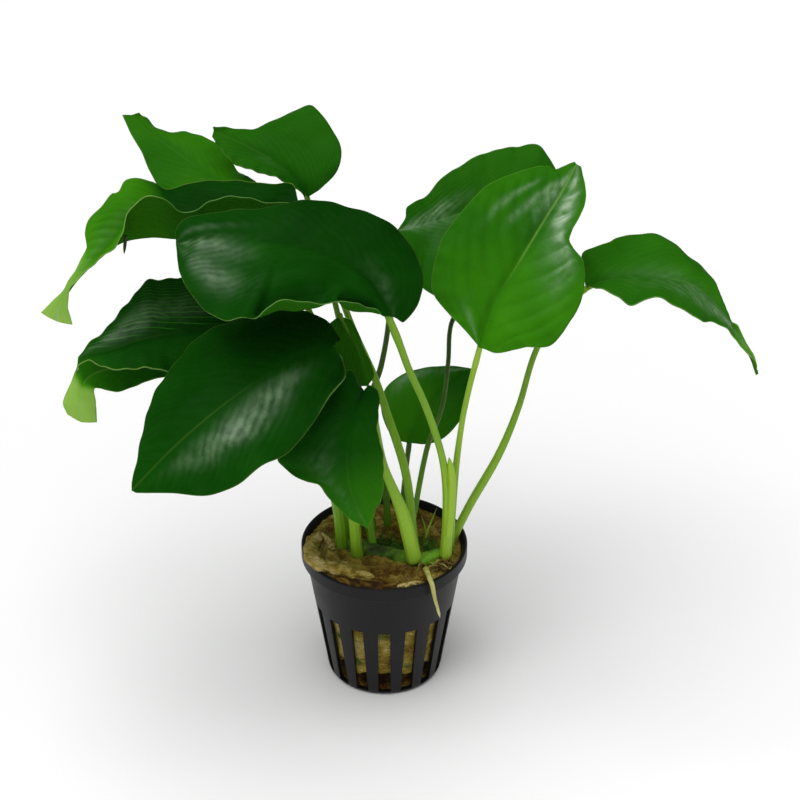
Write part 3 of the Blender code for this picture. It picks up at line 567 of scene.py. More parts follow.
class Finish:
    """A material being made, with one method for any node."""

    def __init__(self, name, roughness, **constants):
        self.material = bpy.data.materials.new(name)
        self.material.use_nodes = True
        self.tree = self.material.node_tree
        self.shader = self.tree.nodes["Principled BSDF"]
        self.set(Roughness=roughness)
        for socket, value in constants.items():
            self.shader.inputs[socket.replace("_", " ")].default_value = value

    def node(self, kind, settings=None, sockets=None, output=0):
        made = self.tree.nodes.new(kind)
        for name, value in (settings or {}).items():
            if name == "stops":
                self.set_stops(made.color_ramp, value)
            else:
                setattr(made, name, value)
        for name, value in (sockets or {}).items():
            self.feed(made.inputs[name], value)
        return Wire(self, made.outputs[output])

    def feed(self, socket, value):
        if isinstance(value, Wire):
            self.tree.links.new(value.socket, socket)
        elif socket.type == "RGBA":
            socket.default_value = (*value[:3], 1)
        else:
            socket.default_value = value

    def set_stops(self, ramp, stops):
        while len(ramp.elements) < len(stops):
            ramp.elements.new(1.0)
        for element, (place, colour) in zip(ramp.elements, stops):
            element.position = place
            element.color = (*colour[:3], 1)

    def set(self, **sockets):
        for name, value in sockets.items():
            self.feed(self.shader.inputs[name.replace("_", " ")], value)

    def attribute(self, name):
        return self.node("ShaderNodeAttribute", {"attribute_name": name},
                         output=ATTRIBUTE_NUMBER)

    def place(self):
        return self.node("ShaderNodeTexCoord", output=OBJECT_PLACE)

    def noise(self, scale, detail=2.0, place=None):
        return self.node("ShaderNodeTexNoise", None,
                         {"Vector": place or self.place(), "Scale": scale, "Detail": detail})

    def stretched(self, scale):
        return self.node("ShaderNodeMapping", None, {"Vector": self.place(), "Scale": scale})

    def mix(self, share, first, second):
        return self.node("ShaderNodeMix", {"data_type": "RGBA"},
                         {MIX_SHARE: share, MIX_FIRST: first, MIX_SECOND: second},
                         output=MIXED_COLOUR)

    def colours(self, value, stops):
        return self.node("ShaderNodeValToRGB", {"stops": stops}, {"Fac": value})

    def bump(self, height, depth):
        self.set(Normal=self.node("ShaderNodeBump", None, {"Height": height, "Distance": depth}))


def vein_marks(vein):
    """The blade's main veins, and its finer ones at a fifth of their spacing."""
    return vein.from_whole().ramp(0.10, 0.0), (vein * 5.0).from_whole().ramp(0.30, 0.0)


def blade_top_finish(leaf):
    """The upper side: deep green, finely veined and glossy, with a pale rib, a painted highlight
    along the margin and a pale sheen painted in where it shines.
    """
    finish = Finish("blade_top", 0.4, Specular_IOR_Level=leaf.shine, Coat_Roughness=0.27)
    vein = finish.attribute("vein")
    rib = finish.attribute("rib")
    rim = finish.attribute("rim")
    cloud = finish.noise(38.0, 3.0)
    crease, thread = vein_marks(vein)
    crease = crease * rim.ramp(0.0, 3.0)
    tone = finish.attribute("tone") + (cloud - 0.5) * 0.34
    tone = tone + crease * finish.attribute("show_lines") * 0.22
    green = finish.colours(tone, [(0.0, leaf.deepest), (0.20, leaf.deep), (0.45, leaf.mid),
                                  (0.68, leaf.fresh), (1.0, leaf.pale)])
    green = finish.mix(rib.ramp(0.50, 0.20) * finish.attribute("show_rib"), green, leaf.pale)
    # A pale band painted along the margin: a painted highlight on the blade's edge
    green = finish.mix(rim.ramp(0.40, 0.15) * finish.attribute("show_rim"), green, leaf.pale)
    patchy = finish.noise(140.0, 3.0)
    # The streaks and the film below paint a pale sheen into the colour, a painted highlight; the
    # coat gives the real gloss
    streak = (vein * 1.1 + 3.6 * finish.noise(80.0, 3.0)).from_whole().ramp(0.50, 0.05)
    wax = finish.attribute("wax") * (0.30 + 1.2 * patchy + 0.15 * streak)
    painted_sheen = (finish.noise(260.0, 4.0).ramp(0.36, 0.66) + 0.5 * streak + 0.2) * wax * 0.50
    finish.set(Base_Color=finish.mix(painted_sheen, green, leaf.painted_sheen), Roughness=0.35 + 0.2 * patchy,
               Coat_Weight=wax)
    grain = finish.noise(1400.0, 2.0)
    finish.bump(0.35 * thread - 0.5 * crease + 0.3 * grain, 0.00005)
    return finish.material


def blade_under_finish(leaf):
    """The underside: paler and duller, with its veins standing out."""
    finish = Finish("blade_underside", 0.5, Specular_IOR_Level=leaf.shine)
    cloud = finish.noise(45.0, 3.0)
    crease, thread = vein_marks(finish.attribute("vein"))
    share = (finish.attribute("tone") * 0.5 + (cloud - 0.5) * 0.3 + crease * 0.08).ramp(0.0, 1.0)
    finish.set(Base_Color=finish.mix(share, leaf.underside, leaf.fresh))
    finish.bump(crease + 0.3 * thread, 0.00010)
    return finish.material


def blade_rim_finish(leaf):
    """The thin cut edge of a blade."""
    finish = Finish("blade_edge", 0.5)
    share = finish.attribute("tone") * 0.6 + 0.25 * finish.noise(300.0)
    finish.set(Base_Color=finish.mix(share, leaf.mid, leaf.pale))
    return finish.material


def stalk_finish(stem):
    """Smooth stalks with fine ridges along them."""
    finish = Finish("stalk", 0.38, Specular_IOR_Level=0.2)
    tone = finish.attribute("tone") + (finish.noise(110.0, 3.0) - 0.5) * 0.25
    ridge = finish.attribute("ridge")
    streak = finish.noise(1.0, 3.0, finish.stretched((900.0, 900.0, 60.0)))
    green = finish.colours(tone + (streak - 0.5) * 0.18,
                           [(0.0, stem.dark), (0.5, stem.green), (1.0, stem.pale)])
    finish.set(Base_Color=green, Roughness=0.30 + 0.2 * streak)
    finish.bump(0.6 * ridge + 0.6 * streak, 0.00012)
    return finish.material


def rhizome_finish(stem):
    """Scarred green skin, painted brown and dark in its creases as painted shade."""
    finish = Finish("rhizome_skin", 0.6, Specular_IOR_Level=0.2)
    lump = finish.noise(240.0, 4.0)
    tone = lump + 0.16 * finish.attribute("tone")
    # Low lumps are the creases, and the dark stops there are painted shade
    finish.set(Base_Color=finish.colours(tone, [(0.30, (0.020, 0.014, 0.004)),
                                                (0.45, (0.030, 0.070, 0.005)),
                                                (0.60, (0.08, 0.16, 0.008)),
                                                (0.78, stem.green)]))
    finish.bump(lump, 0.0008)
    return finish.material


def root_finish():
    """Root skin, from brown to pale cream."""
    finish = Finish("root_skin", 0.5, Specular_IOR_Level=0.2)
    streak = finish.noise(1.0, 3.0, finish.stretched((700.0, 700.0, 160.0)))
    tone = finish.attribute("tone") + (streak - 0.5) * 0.5
    finish.set(Base_Color=finish.colours(tone, [(0.0, (0.035, 0.018, 0.005)),
                                                (0.35, (0.16, 0.10, 0.02)),
                                                (0.70, (0.34, 0.33, 0.07)),
                                                (1.0, (0.62, 0.62, 0.26))]))
    finish.bump(streak, 0.0002)
    return finish.material


def wool_stops(wool):
    """The wool's colours by tone."""
    return [(0.0, wool.dark), (0.30, wool.brown), (0.62, wool.tan), (1.0, wool.cream)]


def wool_finish(wool):
    """Matted mineral fibre from cream to dark brown, with moss."""
    finish = Finish("matted_fibre", 0.95, Specular_IOR_Level=0.15)
    patch = finish.noise(150.0, 4.0)
    fibre = finish.node("ShaderNodeTexNoise", None,
                        {"Vector": finish.stretched((330.0, 330.0, 1300.0)), "Scale": 1.0,
                         "Detail": 6.0, "Distortion": 1.6})
    tone = finish.attribute("tone") + (patch - 0.5) * 0.70 + (fibre - 0.5) * 0.70
    plain = finish.colours(tone, wool_stops(wool))
    green = finish.colours(fibre, [(0.3, (0.008, 0.020, 0.002)), (0.55, wool.moss),
                                   (0.75, (0.16, 0.22, 0.020))])
    grown = (finish.attribute("moss") + (patch - 0.5) * 1.2).ramp(0.25, 0.85)
    finish.set(Base_Color=finish.mix(grown, plain, green))
    finish.bump(fibre + patch, 0.0015)
    return finish.material


def strand_finish(wool):
    """Loose fibres, each with its own tone."""
    finish = Finish("wool_strand", 0.8, Specular_IOR_Level=0.15)
    plain = finish.colours(finish.attribute("tone"), wool_stops(wool))
    finish.set(Base_Color=finish.mix(finish.attribute("moss"), plain, wool.moss))
    return finish.material


def plastic_finish(pot):
    """Black moulded plastic with a fine grain and a little dust."""
    finish = Finish("black_plastic", 0.42, Specular_IOR_Level=0.18)
    dust = finish.noise(70.0, 5.0).ramp(0.45, 0.80)
    grain = finish.noise(1800.0, 2.0)
    finish.set(Base_Color=finish.mix(dust * 0.4, pot.plastic, (0.020, 0.019, 0.020)),
               Roughness=0.36 + 0.12 * dust + 0.08 * grain)
    finish.bump(grain, 0.00005)
    return finish.material


# Shapes

class Route:
    """A smooth curve through places in millimetres, read by its share of the way."""

    def __init__(self, places):
        self.knots = [Vector(place) for place in places]
        self.stops = [0.0]
        for start, end in zip(self.knots, self.knots[1:]):
            self.stops.append(self.stops[-1] + (end - start).length)
        self.slopes = []
        last = len(self.knots) - 1
        for i in range(last + 1):
            before = max(i - 1, 0)
            after = min(i + 1, last)
            step = self.knots[after] - self.knots[before]
            self.slopes.append(step / (self.stops[after] - self.stops[before]))
        self.length = self.stops[-1]

    def at(self, share):
        distance = min(max(share, 0.0), 1.0) * self.length
        i = 0
        while i < len(self.knots) - 2 and distance > self.stops[i + 1]:
            i += 1
        span = self.stops[i + 1] - self.stops[i]
        t = (distance - self.stops[i]) / span
        from_start = self.knots[i] * (1 + 2 * t) + self.slopes[i] * span * t
        from_end = self.knots[i + 1] * (3 - 2 * t) - self.slopes[i + 1] * span * (1 - t)
        return from_start * (1 - t) ** 2 + from_end * t ** 2

    def ahead(self, share):
        return (self.at(share + 0.01) - self.at(share - 0.01)).normalized()


def ripple(x, y, z, scale=1.0):
    """Smooth noise about 0 at a place."""
    return noise.noise(Vector((x, y, z)) * scale)


def blend(low, high, share):
    return low + (high - low) * share


def smooth(value, start, end):
    """From 0 at the start to 1 at the end, eased at both."""
    share = min(max((value - start) / (end - start), 0.0), 1.0)
    return share * share * (3 - 2 * share)


def stepped(stops, share):
    """The value at a share of the way, eased between stops of share and value."""
    for (start, low), (end, high) in zip(stops, stops[1:]):
        if share <= end:
            return blend(low, high, smooth(share, start, end))
    return stops[-1][1]


def near(spots, x, y):
    """The sum of soft round spots, each given by place, spread and amount."""
    return sum(amount * math.exp(-((x - left) ** 2 + (y - deep) ** 2) / spread ** 2)
               for left, deep, spread, amount in spots)


def margin_of(blade, side):
    """The places of a margin, joined to the midrib's two ends."""
    places = [Vector(place) for place in getattr(blade, side)]
    base = Vector(blade.rib[0])
    tip = Vector(blade.rib[-1])
    start = base + (places[0] - base).normalized() * BASE_HALF_WIDTH
    if blade.flared:
        return [start] + places
    return [start] + places + [tip + (places[-1] - tip).normalized() * TIP_HALF_WIDTH]


def eased(share):
    """Rows of a blade stand closer near its two ends."""
    return 0.5 * share + 0.25 * (1 - math.cos(math.pi * share))


Row = namedtuple("Row", "middle ahead left right up")


class BladeForm:
    """The surface of a blade, row by row, with the values that its finish follows."""

    def __init__(self, name, blade, habit, leaf):
        self.rib = Route(blade.rib)
        self.left = Route(margin_of(blade, "left"))
        self.right = Route(margin_of(blade, "right"))
        self.habit = habit
        self.curls = CURLS.get(name, [])
        self.relief = leaf.relief / MM
        self.seed = 7.0 * sum(map(ord, name))
        cell = leaf.cell / MM
        self.rows = max(24, round(max(self.left.length, self.right.length) / cell))
        widest = max((self.left.at(i / 20) - self.rib.at(i / 20)).length
                     + (self.right.at(i / 20) - self.rib.at(i / 20)).length for i in range(21))
        self.columns = max(16, 2 * round(widest / cell / 2))

    def row(self, along):
        """The midrib, its direction, the margins and the way up at a share of the length."""
        middle = self.rib.at(along)
        ahead = self.rib.at(along + 0.02) - self.rib.at(along - 0.02)
        left = self.left.at(along)
        right = self.right.at(along)
        up = (right - left).cross(ahead).normalized()
        return Row(middle, ahead.normalized(), left, right, up)

    def spot(self, row, across, along):
        """The place of a spot, its distances to the midrib and the margin, and its vein."""
        side = 1 if across > 0 else -1
        reach = (row.right if across > 0 else row.left) - row.middle
        width = reach.length
        own_up = (reach * side).cross(row.ahead).normalized()
        s = abs(across)
        from_rib = s * width
        from_rim = (1 - s) * width
        belly = 4 * s * (1 - s) * BELLY * width
        slant = self.habit.slant * (0.75 + 0.5 * s)
        vein = (along * self.rib.length - slant * from_rib) / self.habit.veins + 0.5 * (side > 0)
        ends = smooth(along, 0.0, 0.12) * smooth(along, 1.0, 0.94)
        swell = abs(math.sin(math.pi * vein)) ** 0.7 * self.relief * self.habit.quilt
        swell *= smooth(from_rib, 0.4, 3.0) * smooth(from_rim, 0.2, 4.0) * ends
        wave = math.sin(math.tau * self.habit.ruffles * along + self.seed + side)
        wave += 0.6 * math.sin(math.tau * 2.3 * self.habit.ruffles * along + 2 * self.seed)
        ruffle = self.habit.ruffle * wave * s ** 3 * ends
        drift = noise.noise((row.middle + reach * s) * 0.045 + Vector((self.seed, 0, 0)))
        lift = drift * DRIFT * smooth(from_rib, 1.0, 10.0) * ends
        for curl in self.curls:
            if curl.side == side:
                share = (along - curl.start) / (curl.end - curl.start)
                bow = math.sin(math.pi * min(max(share, 0.0), 1.0)) ** 0.7
                lift -= curl.depth * bow * smooth(s, 0.45, 0.92) * smooth(s, 1.0, 0.92)
        place = row.middle + reach * s + row.up * belly + own_up * (swell + ruffle + lift)
        return place, from_rib, from_rim, vein


def number_layers(bm, names):
    """New values on the vertices, which the materials read as attributes."""
    return [bm.verts.layers.float.new(name) for name in names]


def mesh_of(bm, name):
    """Turn a finished bmesh into a mesh."""
    mesh = bpy.data.meshes.new(name)
    bm.to_mesh(mesh)
    bm.free()
    return mesh


def add_object(name, data):
    added = bpy.data.objects.new(name, data)
    bpy.context.scene.collection.objects.link(added)
    return added


def piece_from(bm, name, nodes, materials, sharp=50.0):
    """A mesh piece in place of CAD nodes, smooth but for its sharp edges."""
    mesh = mesh_of(bm, name)
    mesh.shade_smooth()
    mesh.set_sharp_from_angle(angle=math.radians(sharp))
    piece = add_object(name, mesh)
    for material in materials:
        mesh.materials.append(material)
    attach(piece, BODY)
    if nodes:
        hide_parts(*nodes)
    return piece


def apply_modifiers(piece):
    """Keep the shape that a piece's modifiers give it, and drop them."""
    bpy.context.view_layer.update()
    seen = piece.evaluated_get(bpy.context.evaluated_depsgraph_get())
    shaped = bpy.data.meshes.new_from_object(seen)
    piece.modifiers.clear()
    piece.data = shaped


def thickness_share(from_rib, along):
    """A blade is thick along its midrib, less so near its tip, and thin elsewhere."""
    rib = math.exp(-(from_rib / RIB_BREADTH) ** 2) * (1 - 0.6 * along)
    return MARGIN_THICKNESS + (1 - MARGIN_THICKNESS) * rib


def make_blade(name, leaf, materials):
    """A blade, shaped from a flat grid, thick at its midrib and thin at its margins."""
    habit = HABITS[name]
    form = BladeForm(name, PLANT[name], habit, leaf)
    bm = bmesh.new()
    vein_layer, rib, rim, tone, wax, show_rib, show_lines, show_rim = number_layers(
        bm, ("vein", "rib", "rim", "tone", "wax", "show_rib", "show_lines", "show_rim"))
    weights = bm.verts.layers.deform.verify()
    bmesh.ops.create_grid(bm, x_segments=form.columns, y_segments=form.rows, size=1.0)
    rows = {}
    for vert in bm.verts:
        across = vert.co.x
        step = round((vert.co.y + 1) / 2 * form.rows)
        along = eased(step / form.rows)
        if step not in rows:
            rows[step] = form.row(along)
        place, from_rib, from_rim, vein = form.spot(rows[step], across, along)
        vert.co = place * MM
        vert[vein_layer] = vein
        vert[rib] = from_rib
        vert[rim] = from_rim
        half = habit.halves[across > 0] * smooth(from_rib, 0.0, 3.0)
        vert[tone] = stepped(habit.tones, along) + half
        vert[wax] = USUAL_GLOSS_AND_SHEEN + near(GLOSS_AND_SHEEN_SPOTS.get(name, []), 100 * along, 100 * across)
        vert[show_rib] = habit.rib * smooth(along, 0.25, 0.60)
        lines = 0 if PLAIN_HALF.get(name, 0) * across > 0 else habit.lines
        vert[show_lines] = lines * smooth(from_rib, 0.6, 2.5)
        vert[show_rim] = habit.rim
        vert[weights][0] = thickness_share(from_rib, along)
    piece = piece_from(bm, name + "_blade", ["leaf_" + name], materials)
    group = piece.vertex_groups.new(name="thickness")
    sheet = piece.modifiers.new("Thickness", "SOLIDIFY")
    sheet.thickness = leaf.thickness
    sheet.offset = -1.0
    sheet.vertex_group = group.name
    sheet.material_offset = 1
    sheet.material_offset_rim = 2
    return piece


def upright_cylinder(bm, rings, sides):
    """Fill an empty mesh with a cylinder one unit tall and one in radius, cut into rings."""
    bmesh.ops.create_cone(bm, cap_ends=True, segments=sides, radius1=1.0, radius2=1.0, depth=1.0)
    upright = [edge for edge in bm.edges
               if abs(edge.verts[0].co.z - edge.verts[1].co.z) > 0.5]
    bmesh.ops.subdivide_edges(bm, edges=upright, cuts=rings - 1, use_grid_fill=True)
    return list(bm.verts) + list(bm.edges) + list(bm.faces)


def bend(verts, rings, route, radius_at, values):
    """Bend an upright cylinder along a route. Functions give its radius and its values."""
    frames = []
    side = Vector((1, 0, 0))
    for i in range(rings + 1):
        ahead = route.ahead(i / rings)
        side = (side - ahead * side.dot(ahead)).normalized()
        frames.append((route.at(i / rings), side, ahead.cross(side)))
    for vert in verts:
        share = vert.co.z + 0.5
        angle = math.atan2(vert.co.y, vert.co.x)
        middle, out, over = frames[round(share * rings)]
        radius = radius_at(share, angle)
        vert.co = (middle + (out * math.cos(angle) + over * math.sin(angle)) * radius) * MM
        for layer, value in values.items():
            vert[layer] = value(share, angle)


def verts_of(parts):
    return [part for part in parts if isinstance(part, bmesh.types.BMVert)]


def tube(bm, route, radius_at, rings, sides, values):
    """Add a round stalk along a route, with named values on its vertices."""
    part = bmesh.new()
    layers = dict(zip(number_layers(part, values), values.values()))
    upright_cylinder(part, rings, sides)
    bend(part.verts, rings, route, radius_at, layers)
    mesh = mesh_of(part, "part")
    bm.from_mesh(mesh)
    bpy.data.meshes.remove(mesh)


def stem_route(name, leaf):
    """From the wool to the blade's base and on under its midrib."""
    blade = PLANT[name]
    form = BladeForm(name, blade, HABITS[name], leaf)
    foot = Vector(blade.stem[0])
    down = (foot - Vector(blade.stem[1])).normalized()
    sink = STEM_SINK.get(name, USUAL_SINK)
    places = [foot + down * sink] + [Vector(place) for place in blade.stem]
    slim = blade.radii[1]
    base = form.row(0.01)
    joint = base.middle - base.up * JOINT_DEPTH * slim
    places.append(joint + (places[-1] - joint).normalized() * 1.5 * slim)
    places.append(joint)
    free = Route(places).length
    for share, depth in UNDER_RIB:
        row = form.row(share)
        places.append(row.middle - row.up * depth * slim)
    return Route(places), free


def make_stem(name, leaf, material):
    """A stalk that swells at its foot and runs on as the blade's midrib."""
    blade = PLANT[name]
    habit = HABITS[name]
    route, free = stem_route(name, leaf)
    free_share = free / route.length
    wide, slim = blade.radii

    def radius_at(share, angle):
        """Swollen at the foot and the joint, slim past the sheath, and fading in the midrib."""
        s = min(share / free_share, 1.0)
        up = share * route.length
        radius = blend(wide, slim, smooth(s, *SHEATH_END.get(name, USUAL_SHEATH_END)))
        radius *= 1 + FOOT_SWELL * math.exp(-(up / FOOT_SWELL_HEIGHT) ** 2)
        radius *= math.sqrt(1 - max(1 - up / FOOT_ROUNDING, 0.0) ** 2 * 0.9)
        radius *= 1 + JOINT_SWELL * math.exp(-((s - JOINT_SHARE) / JOINT_SPREAD) ** 2)
        beyond = max(share - free_share, 0.0) / (1 - free_share)
        radius *= (1 - beyond) ** 0.8 * (1 - 0.45 * smooth(beyond, 0.0, 0.12)) + 0.08
        corners = 0.035 * math.cos(3 * angle + 2.0 * s)
        return radius * (1 + corners + 0.012 * math.cos(STALK_RIDGES * angle))

    foot_tone, top_tone = habit.stalk
    bm = bmesh.new()
    tube(bm, route, radius_at, max(40, round(route.length / 1.2)), 28, {
        "tone": lambda share, angle: blend(foot_tone, top_tone, smooth(share, 0.0, 0.6)),
        "ridge": lambda share, angle: math.cos(STALK_RIDGES * angle)})
    for shoot in SHOOTS.get(name, []):
        tube(bm, Route(shoot.places),
             lambda share, angle: shoot.radius * (1 - share ** shoot.blunt) + 0.05, 40, 16,
             {"tone": lambda share, angle: shoot.tone,
              "ridge": lambda share, angle: math.cos(6 * angle)})
    return piece_from(bm, name + "_stalk", ["stem_" + name], [material])


def wall_radius(height):
    """The outer radius of the pot's wall under its rim band."""
    return blend(POT_BASE_RADIUS, POT_RIM_RADIUS - RIM_STEP, height / POT_HEIGHT)


def spin_section(bm, section, steps):
    """Turn a section, by radius and height in mm, right round the upright axis."""
    verts = [bm.verts.new((radius * MM, 0, height * MM)) for radius, height in section]
    edges = [bm.edges.new(pair) for pair in zip(verts, verts[1:])]
    bmesh.ops.spin(bm, geom=verts + edges, axis=(0, 0, 1), cent=(0, 0, 0), angle=math.tau,
                   steps=steps, use_merge=True)
    bmesh.ops.remove_doubles(bm, verts=bm.verts, dist=0.01 * MM)
    bmesh.ops.recalc_face_normals(bm, faces=bm.faces)


def make_pot(pot, material):
    """The net pot: a turned wall with a stout rim band, and rounded slots cut through it."""
    inside = POT_RIM_RADIUS - POT_WALL
    corner = wall_radius(POT_WALL) - POT_WALL
    floor = [(0, POT_WALL), (corner - 1.0, POT_WALL), (corner, POT_WALL + 0.8)]
    rim = [
        (wall_radius(BAND_FOOT) - POT_WALL, BAND_FOOT),
        (inside, POT_HEIGHT - LIP_DROP),
        (inside + LIP, POT_HEIGHT),
        (POT_RIM_RADIUS - LIP, POT_HEIGHT),
        (POT_RIM_RADIUS, POT_HEIGHT - LIP_DROP),
        (POT_RIM_RADIUS, BAND_FOOT + LIP_DROP),
        (wall_radius(BAND_FOOT), BAND_FOOT),
    ]
    foot = [
        (wall_radius(3.0), 3.0),
        (wall_radius(1.3) - 0.15, 1.3),
        (POT_BASE_RADIUS - 0.6, 0.35),
        (POT_BASE_RADIUS - 1.3, 0),
        (0, 0),
    ]
    bm = bmesh.new()
    spin_section(bm, floor + rim + foot, 8 * SLOT_COUNT)
    piece = piece_from(bm, "slotted_pot", ["net_pot"], [material], 35.0)
    slots = bmesh.new()
    size = Matrix.Diagonal((CUT_DEPTH * MM, SLOT_WIDTH * MM, (SLOT_TOP - SLOT_BOTTOM) * MM, 1))
    middle = Matrix.Translation(Vector((CUT_RADIUS, 0, (SLOT_TOP + SLOT_BOTTOM) / 2)) * MM)
    for i in range(SLOT_COUNT):
        turn = Matrix.Rotation(math.tau * i / SLOT_COUNT - math.pi / 2, 4, "Z")
        bmesh.ops.create_cube(slots, size=1.0, matrix=turn @ middle @ size)
    cutter = add_object("slot_cutter", mesh_of(slots, "slot_cutter"))
    hole = piece.modifiers.new("Slots", "BOOLEAN")
    hole.operation = "DIFFERENCE"
    hole.solver = "EXACT"
    hole.object = cutter
    apply_modifiers(piece)
    bpy.data.objects.remove(cutter)
    soft = piece.modifiers.new("Rounded edges", "BEVEL")
    soft.width = pot.rounding
    soft.segments = 2
    soft.limit_method = "ANGLE"
    soft.angle_limit = math.radians(35)
    soft.harden_normals = True
    return piece


def crests(x, y):
    """The small lumps of the wool's top. The wool's colour is painted paler on them and darker in
    the dips, as painted light and shade.
    """
    return ripple(x * 0.40, y * 0.40, 9.1)


def wool_height(x, y):
    """The height of the wool's torn top, in folds that run round the pot."""
    radius = math.hypot(x, y)
    folds = 1 - abs(ripple(math.atan2(y, x) * 1.6, radius * 0.26, 2.3) * 2.2)
    lumps = ripple(x * 0.12, y * 0.12, 3.7) * 1.6 + crests(x, y) * 1.2
    edge = radius / WOOL_EDGE_RADIUS
    return WOOL_TOP - 0.5 - 1.0 * edge ** 4 + 0.9 * folds + 0.8 * lumps + near(HEAPS, x, y)


def wool_tone(x, y):
    """How pale the wool's top is, from 0, dark brown, to 1, cream."""
    patch = ripple(x * 0.16, y * 0.16, 21.0)
    # The crests term is painted light on the lumps and painted shade in the dips
    return 0.44 + 0.25 * patch + 0.30 * crests(x, y) + near(TINTS, x, y)


def add_roll(bm, roll):
    """A knotted roll of wool, blunt at both ends."""
    def radius_at(share, angle):
        ends = math.sqrt(max(1 - (2 * share - 1) ** 4, 0.02))
        x, y = math.cos(angle), math.sin(angle)
        knots = ripple(share * 7, x, y, 1.3)
        fine = ripple(share * 30, x * 3, y * 3)
        girth = roll.radius * blend(1, roll.end, share)
        return girth * ends * (1 + 0.45 * knots + 0.12 * fine)

    tube(bm, Route(roll.places), radius_at, 60, 32, {
        "tone": lambda share, angle: roll.tone + 0.4 * ripple(share * 9, angle, roll.tone)})


def make_wool(material):
    """The matted block in the pot, lumpy on top, with rolls that spill over the rim."""
    bm = bmesh.new()
    tone, moss = number_layers(bm, ("tone", "moss"))
    floor = POT_WALL + WOOL_LIFT
    brim = WOOL_EDGE_RADIUS + WOOL_BRIM
    top_rings, side_rings, turns = 56, 60, 220
    tops = [(brim * i / top_rings, WOOL_TOP) for i in range(top_rings + 1)]
    heights = [BAND_FOOT - (BAND_FOOT - floor) * i / side_rings for i in range(side_rings + 1)]
    sides = [(wall_radius(height) - POT_WALL - WOOL_GAP, height) for height in heights]
    spin_section(bm, tops + [(brim, WOOL_TOP - 1.5)] + sides + [(0, floor)], turns)
    for vert in bm.verts:
        x, y, z = vert.co / MM
        vert[tone] = wool_tone(x, y)
        vert[moss] = near(MOSSES, x, y)
        if z > WOOL_TOP - 1:
            fine = ripple(x, y, z, 0.9) * 0.4 + ripple(x, y, z, 2.2) * 0.25
            vert.co.z = (wool_height(x, y) + fine) * MM
        elif floor + 0.5 < z < BAND_FOOT + 1:
            angle = math.atan2(y, x)
            torn = SLOT_BOTTOM + TORN_HEIGHT + 4.0 * ripple(3.1 * angle, 0.0, 5.0)
            dent = ripple(x, y, z, 0.22) + 0.5 * ripple(x, y, z, 0.7)
            shrink = max(0.35 + 0.65 * dent, 0.0) * 0.05 + 0.16 * smooth(z, torn + 1.5, torn - 1.5)
            vert.co.x *= 1 - shrink
            vert.co.y *= 1 - shrink
            around = SLOT_RADIUS * math.remainder(angle + math.pi / 2, math.tau)
            shade = 0.60 * smooth(z, torn + 1.0, torn - 2.0)
            vert[tone] = 0.66 + 0.35 * ripple(x, y, z, 0.2) + near(SIDE_TINTS, around, z) - shade
            vert[moss] = 0.5 * ripple(x, z, y, 0.25) + near(SIDE_MOSSES, around, z)
    for roll in ROLLS:
        add_roll(bm, roll)
    return piece_from(bm, "matted_wool", ["rock_wool"], [material], 180.0)


def make_strands(wool, material):
    """Loose fibres over the wool's top and its rolls."""
    rng = random.Random(STRAND_SEED)
    bm = bmesh.new()
    tone, moss = number_layers(bm, ("tone", "moss"))
    rings = 6
    straight = upright_cylinder(bm, rings, 4)
    for _ in range(wool.strands):
        angle = rng.uniform(0, math.tau)
        radius = STRAND_REACH * math.sqrt(rng.uniform(0.02, 1.0))
        x, y = radius * math.cos(angle), radius * math.sin(angle)
        turn = angle + math.pi / 2 + rng.gauss(0, 0.9)
        length = rng.uniform(*STRAND_LENGTHS)
        shade = wool_tone(x, y) + rng.gauss(0.12, 0.20)
        green = min(max(near(MOSSES, x, y) + rng.gauss(0, 0.15), 0.0), 1.0)
        thick = rng.uniform(*STRAND_RADII)
        lift = rng.uniform(*STRAND_LIFTS)
        places = []
        for i in range(STRAND_STEPS + 1):
            turn += rng.gauss(0, 0.45)
            arch = lift * math.sin(math.pi * i / STRAND_STEPS)
            places.append((x, y, wool_height(x, y) + 0.15 + arch))
            x += math.cos(turn) * length / STRAND_STEPS
            y += math.sin(turn) * length / STRAND_STEPS
            if math.hypot(x, y) > STRAND_LIMIT:
                x *= 0.95
                y *= 0.95
        copy = bmesh.ops.duplicate(bm, geom=straight)["geom"]
        bend(verts_of(copy), rings, Route(places), lambda share, turned: thick * (1 - 0.6 * share),
             {tone: lambda share, turned: shade, moss: lambda share, turned: green})
    bmesh.ops.delete(bm, geom=verts_of(straight), context="VERTS")
    return piece_from(bm, "wool_strands", [], [material])


def make_rhizome(material):
    """The creeping stem, ringed where old leaves came off."""
    bm = bmesh.new()

    def radius_at(share, angle):
        radius = blend(*RHIZOME_RADII, share)
        ring = math.exp(-((share * 9 + 0.12 * math.sin(angle)) % 1.0 - 0.5) ** 2 / 0.02)
        lump = ripple(share * 9, math.cos(angle), math.sin(angle), 1.6)
        ends = smooth(share, -0.02, 0.05) * smooth(share, 1.02, 0.95)
        return radius * (0.90 + 0.07 * ring + 0.22 * lump) * (0.35 + 0.65 * ends)

    tube(bm, Route(RHIZOME), radius_at, 90, 40,
         {"tone": lambda share, angle: smooth(share, 0.38, 0.68)})
    return piece_from(bm, "ringed_rhizome", ["rhizome"], [material])


